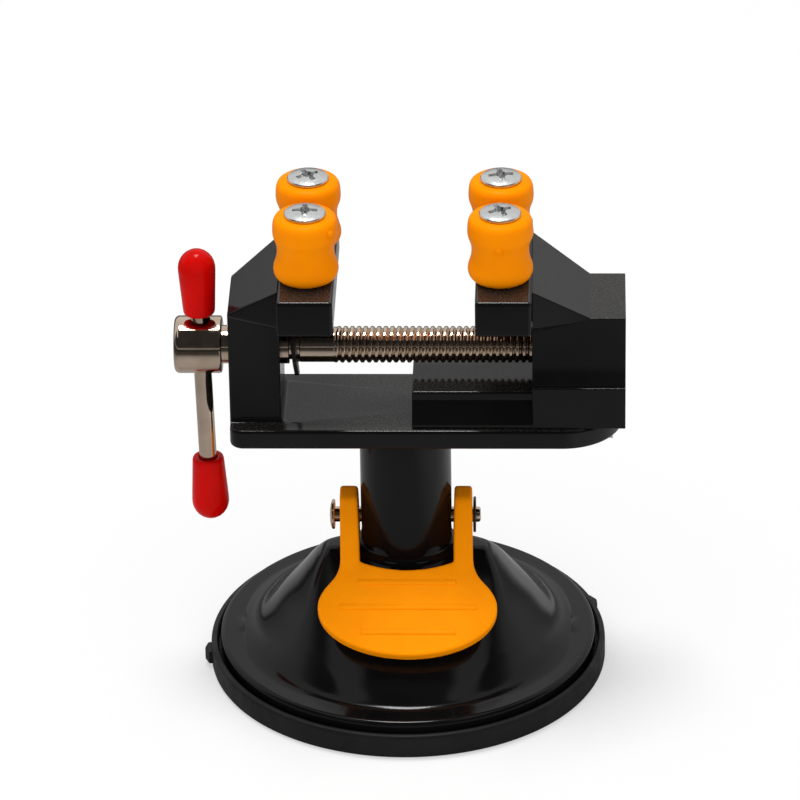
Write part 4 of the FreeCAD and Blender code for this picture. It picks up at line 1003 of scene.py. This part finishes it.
def make_cross_cutter(turn):
    """A plus-shaped cutter that is wider above, for a screw's recess."""
    bm = bmesh.new()
    rings = []
    for height, across, along in ((-0.7, 0.22, 1.0), (2.0, 0.78, 3.7)):
        ring = []
        for quarter in range(4):
            rotation = Matrix.Rotation(math.radians(turn + 90 * quarter), 3, "Z")
            for x, y in ((along, -across), (along, across), (across, across)):
                ring.append(bm.verts.new(rotation @ Vector((x, y, height))))
        bm.faces.new(ring)
        rings.append(ring)
    count = len(rings[0])
    for index in range(count):
        after = (index + 1) % count
        bm.faces.new((rings[0][index], rings[0][after], rings[1][after], rings[1][index]))
    bmesh.ops.recalc_face_normals(bm, faces=bm.faces)
    return as_object(bm, "cross")


def make_nub():
    """The small torn nub that the moulding gate left."""
    depth, width, tearing = 0.45, 0.7, 0.18
    bm = bmesh.new()
    bmesh.ops.create_icosphere(bm, subdivisions=3, radius=1.0)
    for vert in bm.verts:
        x, y, z = vert.co
        bump = 1 + tearing * math.sin(9 * x + 4 * z) * math.cos(7 * y)
        vert.co = Vector((x * depth, y * width, z * width)) * bump
    return as_object(bm, "nub")


def make_peg(place, turn, gate_turn, gate_height):
    """One peg with its nub, and the pan-head screw that holds it."""
    low, high = node_box("peg_" + place)
    middle = (low + high) / 2
    peg = lathe("bollard_" + place, PEG_PROFILE, centre=(middle.x, middle.y, low.z), closed=True)
    nub = make_nub()
    angle = math.radians(gate_turn)
    radius = peg_radius(gate_height)
    gate = Matrix.Translation((middle.x + radius * math.cos(angle),
                               middle.y + radius * math.sin(angle), low.z + gate_height))
    nub.data.transform(gate @ Matrix.Rotation(angle, 4, "Z"))
    join(peg, nub)
    finish(peg, "peg_" + place, "rubber_orange", ["peg_" + place], sharp=50)

    tip = node_box("peg_screw_" + place)[0].z
    seat = high.z + 0.05
    shank, head = 2.0, 3.85
    profile = [(0, tip), (1.6, tip), (shank, tip + 0.4), (shank, seat), (3.7, seat),
               (head, seat + 0.12), (head, seat + 0.4), (3.7, seat + 0.58), (3.2, seat + 0.76),
               (2.4, seat + 0.95), (1.2, seat + 1.07), (0, seat + 1.1)]
    screw = lathe("pan_screw_" + place, profile, centre=(middle.x, middle.y, 0), turns=72)
    # a cross recess with slanting walls, opened up by a cone in the middle
    recess = seat + 0.35
    cross = move(make_cross_cutter(turn), middle.x, middle.y, recess)
    cone = lathe("cone", [(0, -1.0), (0.3, -1.0), (1.46, 1.4), (0, 1.4)],
                 centre=(middle.x, middle.y, recess), turns=24)
    cut(screw, cross, cone)
    body = "vise" if place.startswith("fixed") else "jaw"
    finish(screw, body, "zinc", ["peg_screw_" + place], sharp=30)


# ------------------------------------------------------------------ stage, light and camera


def make_floor():
    """A white sweep, which glossy surfaces see darker than it is, with a painted pool of light in
    the middle and painted light on the right.
    """
    half = 4.0
    bm = bmesh.new()
    for x, y in ((-half, -half), (half, -half), (half, half), (-half, half)):
        bm.verts.new((x, y, 0))
    bm.faces.new(bm.verts)
    floor = as_object(bm, "floor")
    material = bpy.data.materials.new("white sweep")
    material.use_nodes = True
    graph = Graph(material.node_tree)
    graph.tree.nodes.clear()
    rays = graph.node("ShaderNodeLightPath").outputs
    position = graph.node("ShaderNodeNewGeometry").outputs["Position"]
    distance = graph.node("ShaderNodeVectorMath")
    distance.operation = "LENGTH"
    graph.feed(distance.inputs[0], position)
    # painted light: the sweep seen in glossy surfaces gets darker away from a painted pool of light
    # in the middle
    painted_pool_level, painted_far_level = 0.4, 0.06
    painted_pool = graph.smooth(distance.outputs["Value"], 0.08, 0.3, painted_pool_level, painted_far_level)
    # painted light: on the right the sweep seen in glossy surfaces is painted brighter further out
    across = graph.node("ShaderNodeSeparateXYZ", Vector=position).outputs["X"]
    painted_reflection = graph.calc("ADD", painted_pool, graph.smooth(across, 0.03, 0.085, 0.0, 0.3))
    # diffuse rays meet a bright floor, while the camera sees a dimmer one that glows
    plain, bounced, glow = 0.45, 0.85, 0.48
    shade = graph.mix(rays["Is Diffuse Ray"], plain, bounced)
    shade = graph.mix(rays["Is Glossy Ray"], shade, painted_reflection)
    matt = graph.node("ShaderNodeBsdfDiffuse", Color=shade)
    strength = graph.calc("MULTIPLY", rays["Is Camera Ray"], glow)
    emission = graph.node("ShaderNodeEmission", Strength=strength)
    total = graph.node("ShaderNodeAddShader")
    graph.feed(total.inputs[0], matt.outputs[0])
    graph.feed(total.inputs[1], emission.outputs[0])
    graph.node("ShaderNodeOutputMaterial", Surface=total.outputs[0])
    floor.data.materials.append(material)


def make_world():
    """A plain studio: white behind, and on the camera's side a darker room with bright strips."""
    world = bpy.data.worlds.new("studio")
    scene.world = world
    world.use_nodes = True
    graph = Graph(world.node_tree)
    graph.tree.nodes.clear()
    calc, mix, smooth = graph.calc, graph.mix, graph.smooth

    direction = graph.node("ShaderNodeTexCoord").outputs["Generated"]
    x, y, z = graph.node("ShaderNodeSeparateXYZ", Vector=direction).outputs
    behind = smooth(y, -0.12, 0.15)
    wall = smooth(z, 0.0, 0.3, 0.3, 1.0)
    # a dim strip low down on the camera's side
    room_level, strip_level = 0.04, 0.3
    strip = calc("MULTIPLY", smooth(z, 0.10, 0.14), smooth(z, 0.24, 0.2))
    room = calc("ADD", room_level, calc("MULTIPLY", strip, strip_level))
    # two bright strips high up on the left and right draw the creases of the cover
    aside = calc("ABSOLUTE", x)
    band = calc("MULTIPLY", smooth(aside, 0.26, 0.34), smooth(aside, 0.58, 0.5))
    band = calc("MULTIPLY", band, smooth(z, 0.74, 0.8))
    glossy = mix(behind, calc("ADD", room, band), wall)
    # matt surfaces get a little more light from the camera's side
    mean, slope = 0.8, 0.6
    diffuse = calc("SUBTRACT", mean, calc("MULTIPLY", y, slope))
    rays = graph.node("ShaderNodeLightPath").outputs
    level = mix(rays["Is Glossy Ray"], diffuse, glossy)
    level = calc("MAXIMUM", level, rays["Is Camera Ray"])
    background = graph.node("ShaderNodeBackground", Strength=level)
    graph.node("ShaderNodeOutputWorld", Surface=background.outputs[0])


def make_light():
    """One soft lamp above the part and a little behind it."""
    lamp = bpy.data.lights.new("key softbox", "AREA")
    lamp.shape = "SQUARE"
    lamp.size = 0.26
    lamp.energy = 5.2
    place = Vector((-0.05, 0.12, 0.95))
    target = Vector((0, 0, 0.05))
    turn = (target - place).to_track_quat("-Z", "Y").to_matrix().to_4x4()
    obj = bpy.data.objects.new("key softbox", lamp)
    obj.matrix_world = Matrix.Translation(place) @ turn
    scene.collection.objects.link(obj)


def make_camera():
    """The photograph's camera: a long lens far off, in front and above, rolled a little."""
    elevation, azimuth, roll = (math.radians(v) for v in (28.953, 1.914, 0.881))
    distance = 1.12506
    target = Vector((-0.88, 0, 55.62)) * MM
    back = Vector((math.sin(azimuth) * math.cos(elevation),
                   -math.cos(azimuth) * math.cos(elevation), math.sin(elevation)))
    right = (-back).cross(Vector((0, 0, 1))).normalized()
    up = right.cross(-back)
    tilted_right = right * math.cos(roll) - up * math.sin(roll)
    tilted_up = right * math.sin(roll) + up * math.cos(roll)
    camera = bpy.data.cameras.new("camera")
    camera.lens = 270
    camera.sensor_width = 36
    camera.clip_start = 0.05
    camera.dof.use_dof = False
    obj = bpy.data.objects.new("camera", camera)
    turn = Matrix((tilted_right, tilted_up, back)).transposed().to_4x4()
    obj.matrix_world = Matrix.Translation(target + back * distance) @ turn
    scene.collection.objects.link(obj)
    scene.camera = obj


# ------------------------------------------------------------------ build everything

make_camera()
make_light()
make_world()
make_floor()
make_cover()
make_post()
make_cup()
make_lever()
make_pin()
make_vise_casting()
make_jaw_casting()
make_screw()
make_hub()
make_snap_ring()
make_handle()
for peg_place, facts in PEGS.items():
    make_peg(peg_place, *facts)

# the CAD nodes that stay get the same materials
KEPT_NODES = {"suction_stem": "plastic_white", "post_screw": "zinc", "post_washer": "zinc",
              "keeper_plate": "zinc", "keeper_screw": "zinc"}
for node_name, slot_name in KEPT_NODES.items():
    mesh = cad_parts[node_name].data
    mesh.materials.clear()
    mesh.materials.append(MATERIALS[slot_name])

scene.view_settings.view_transform = "Standard"
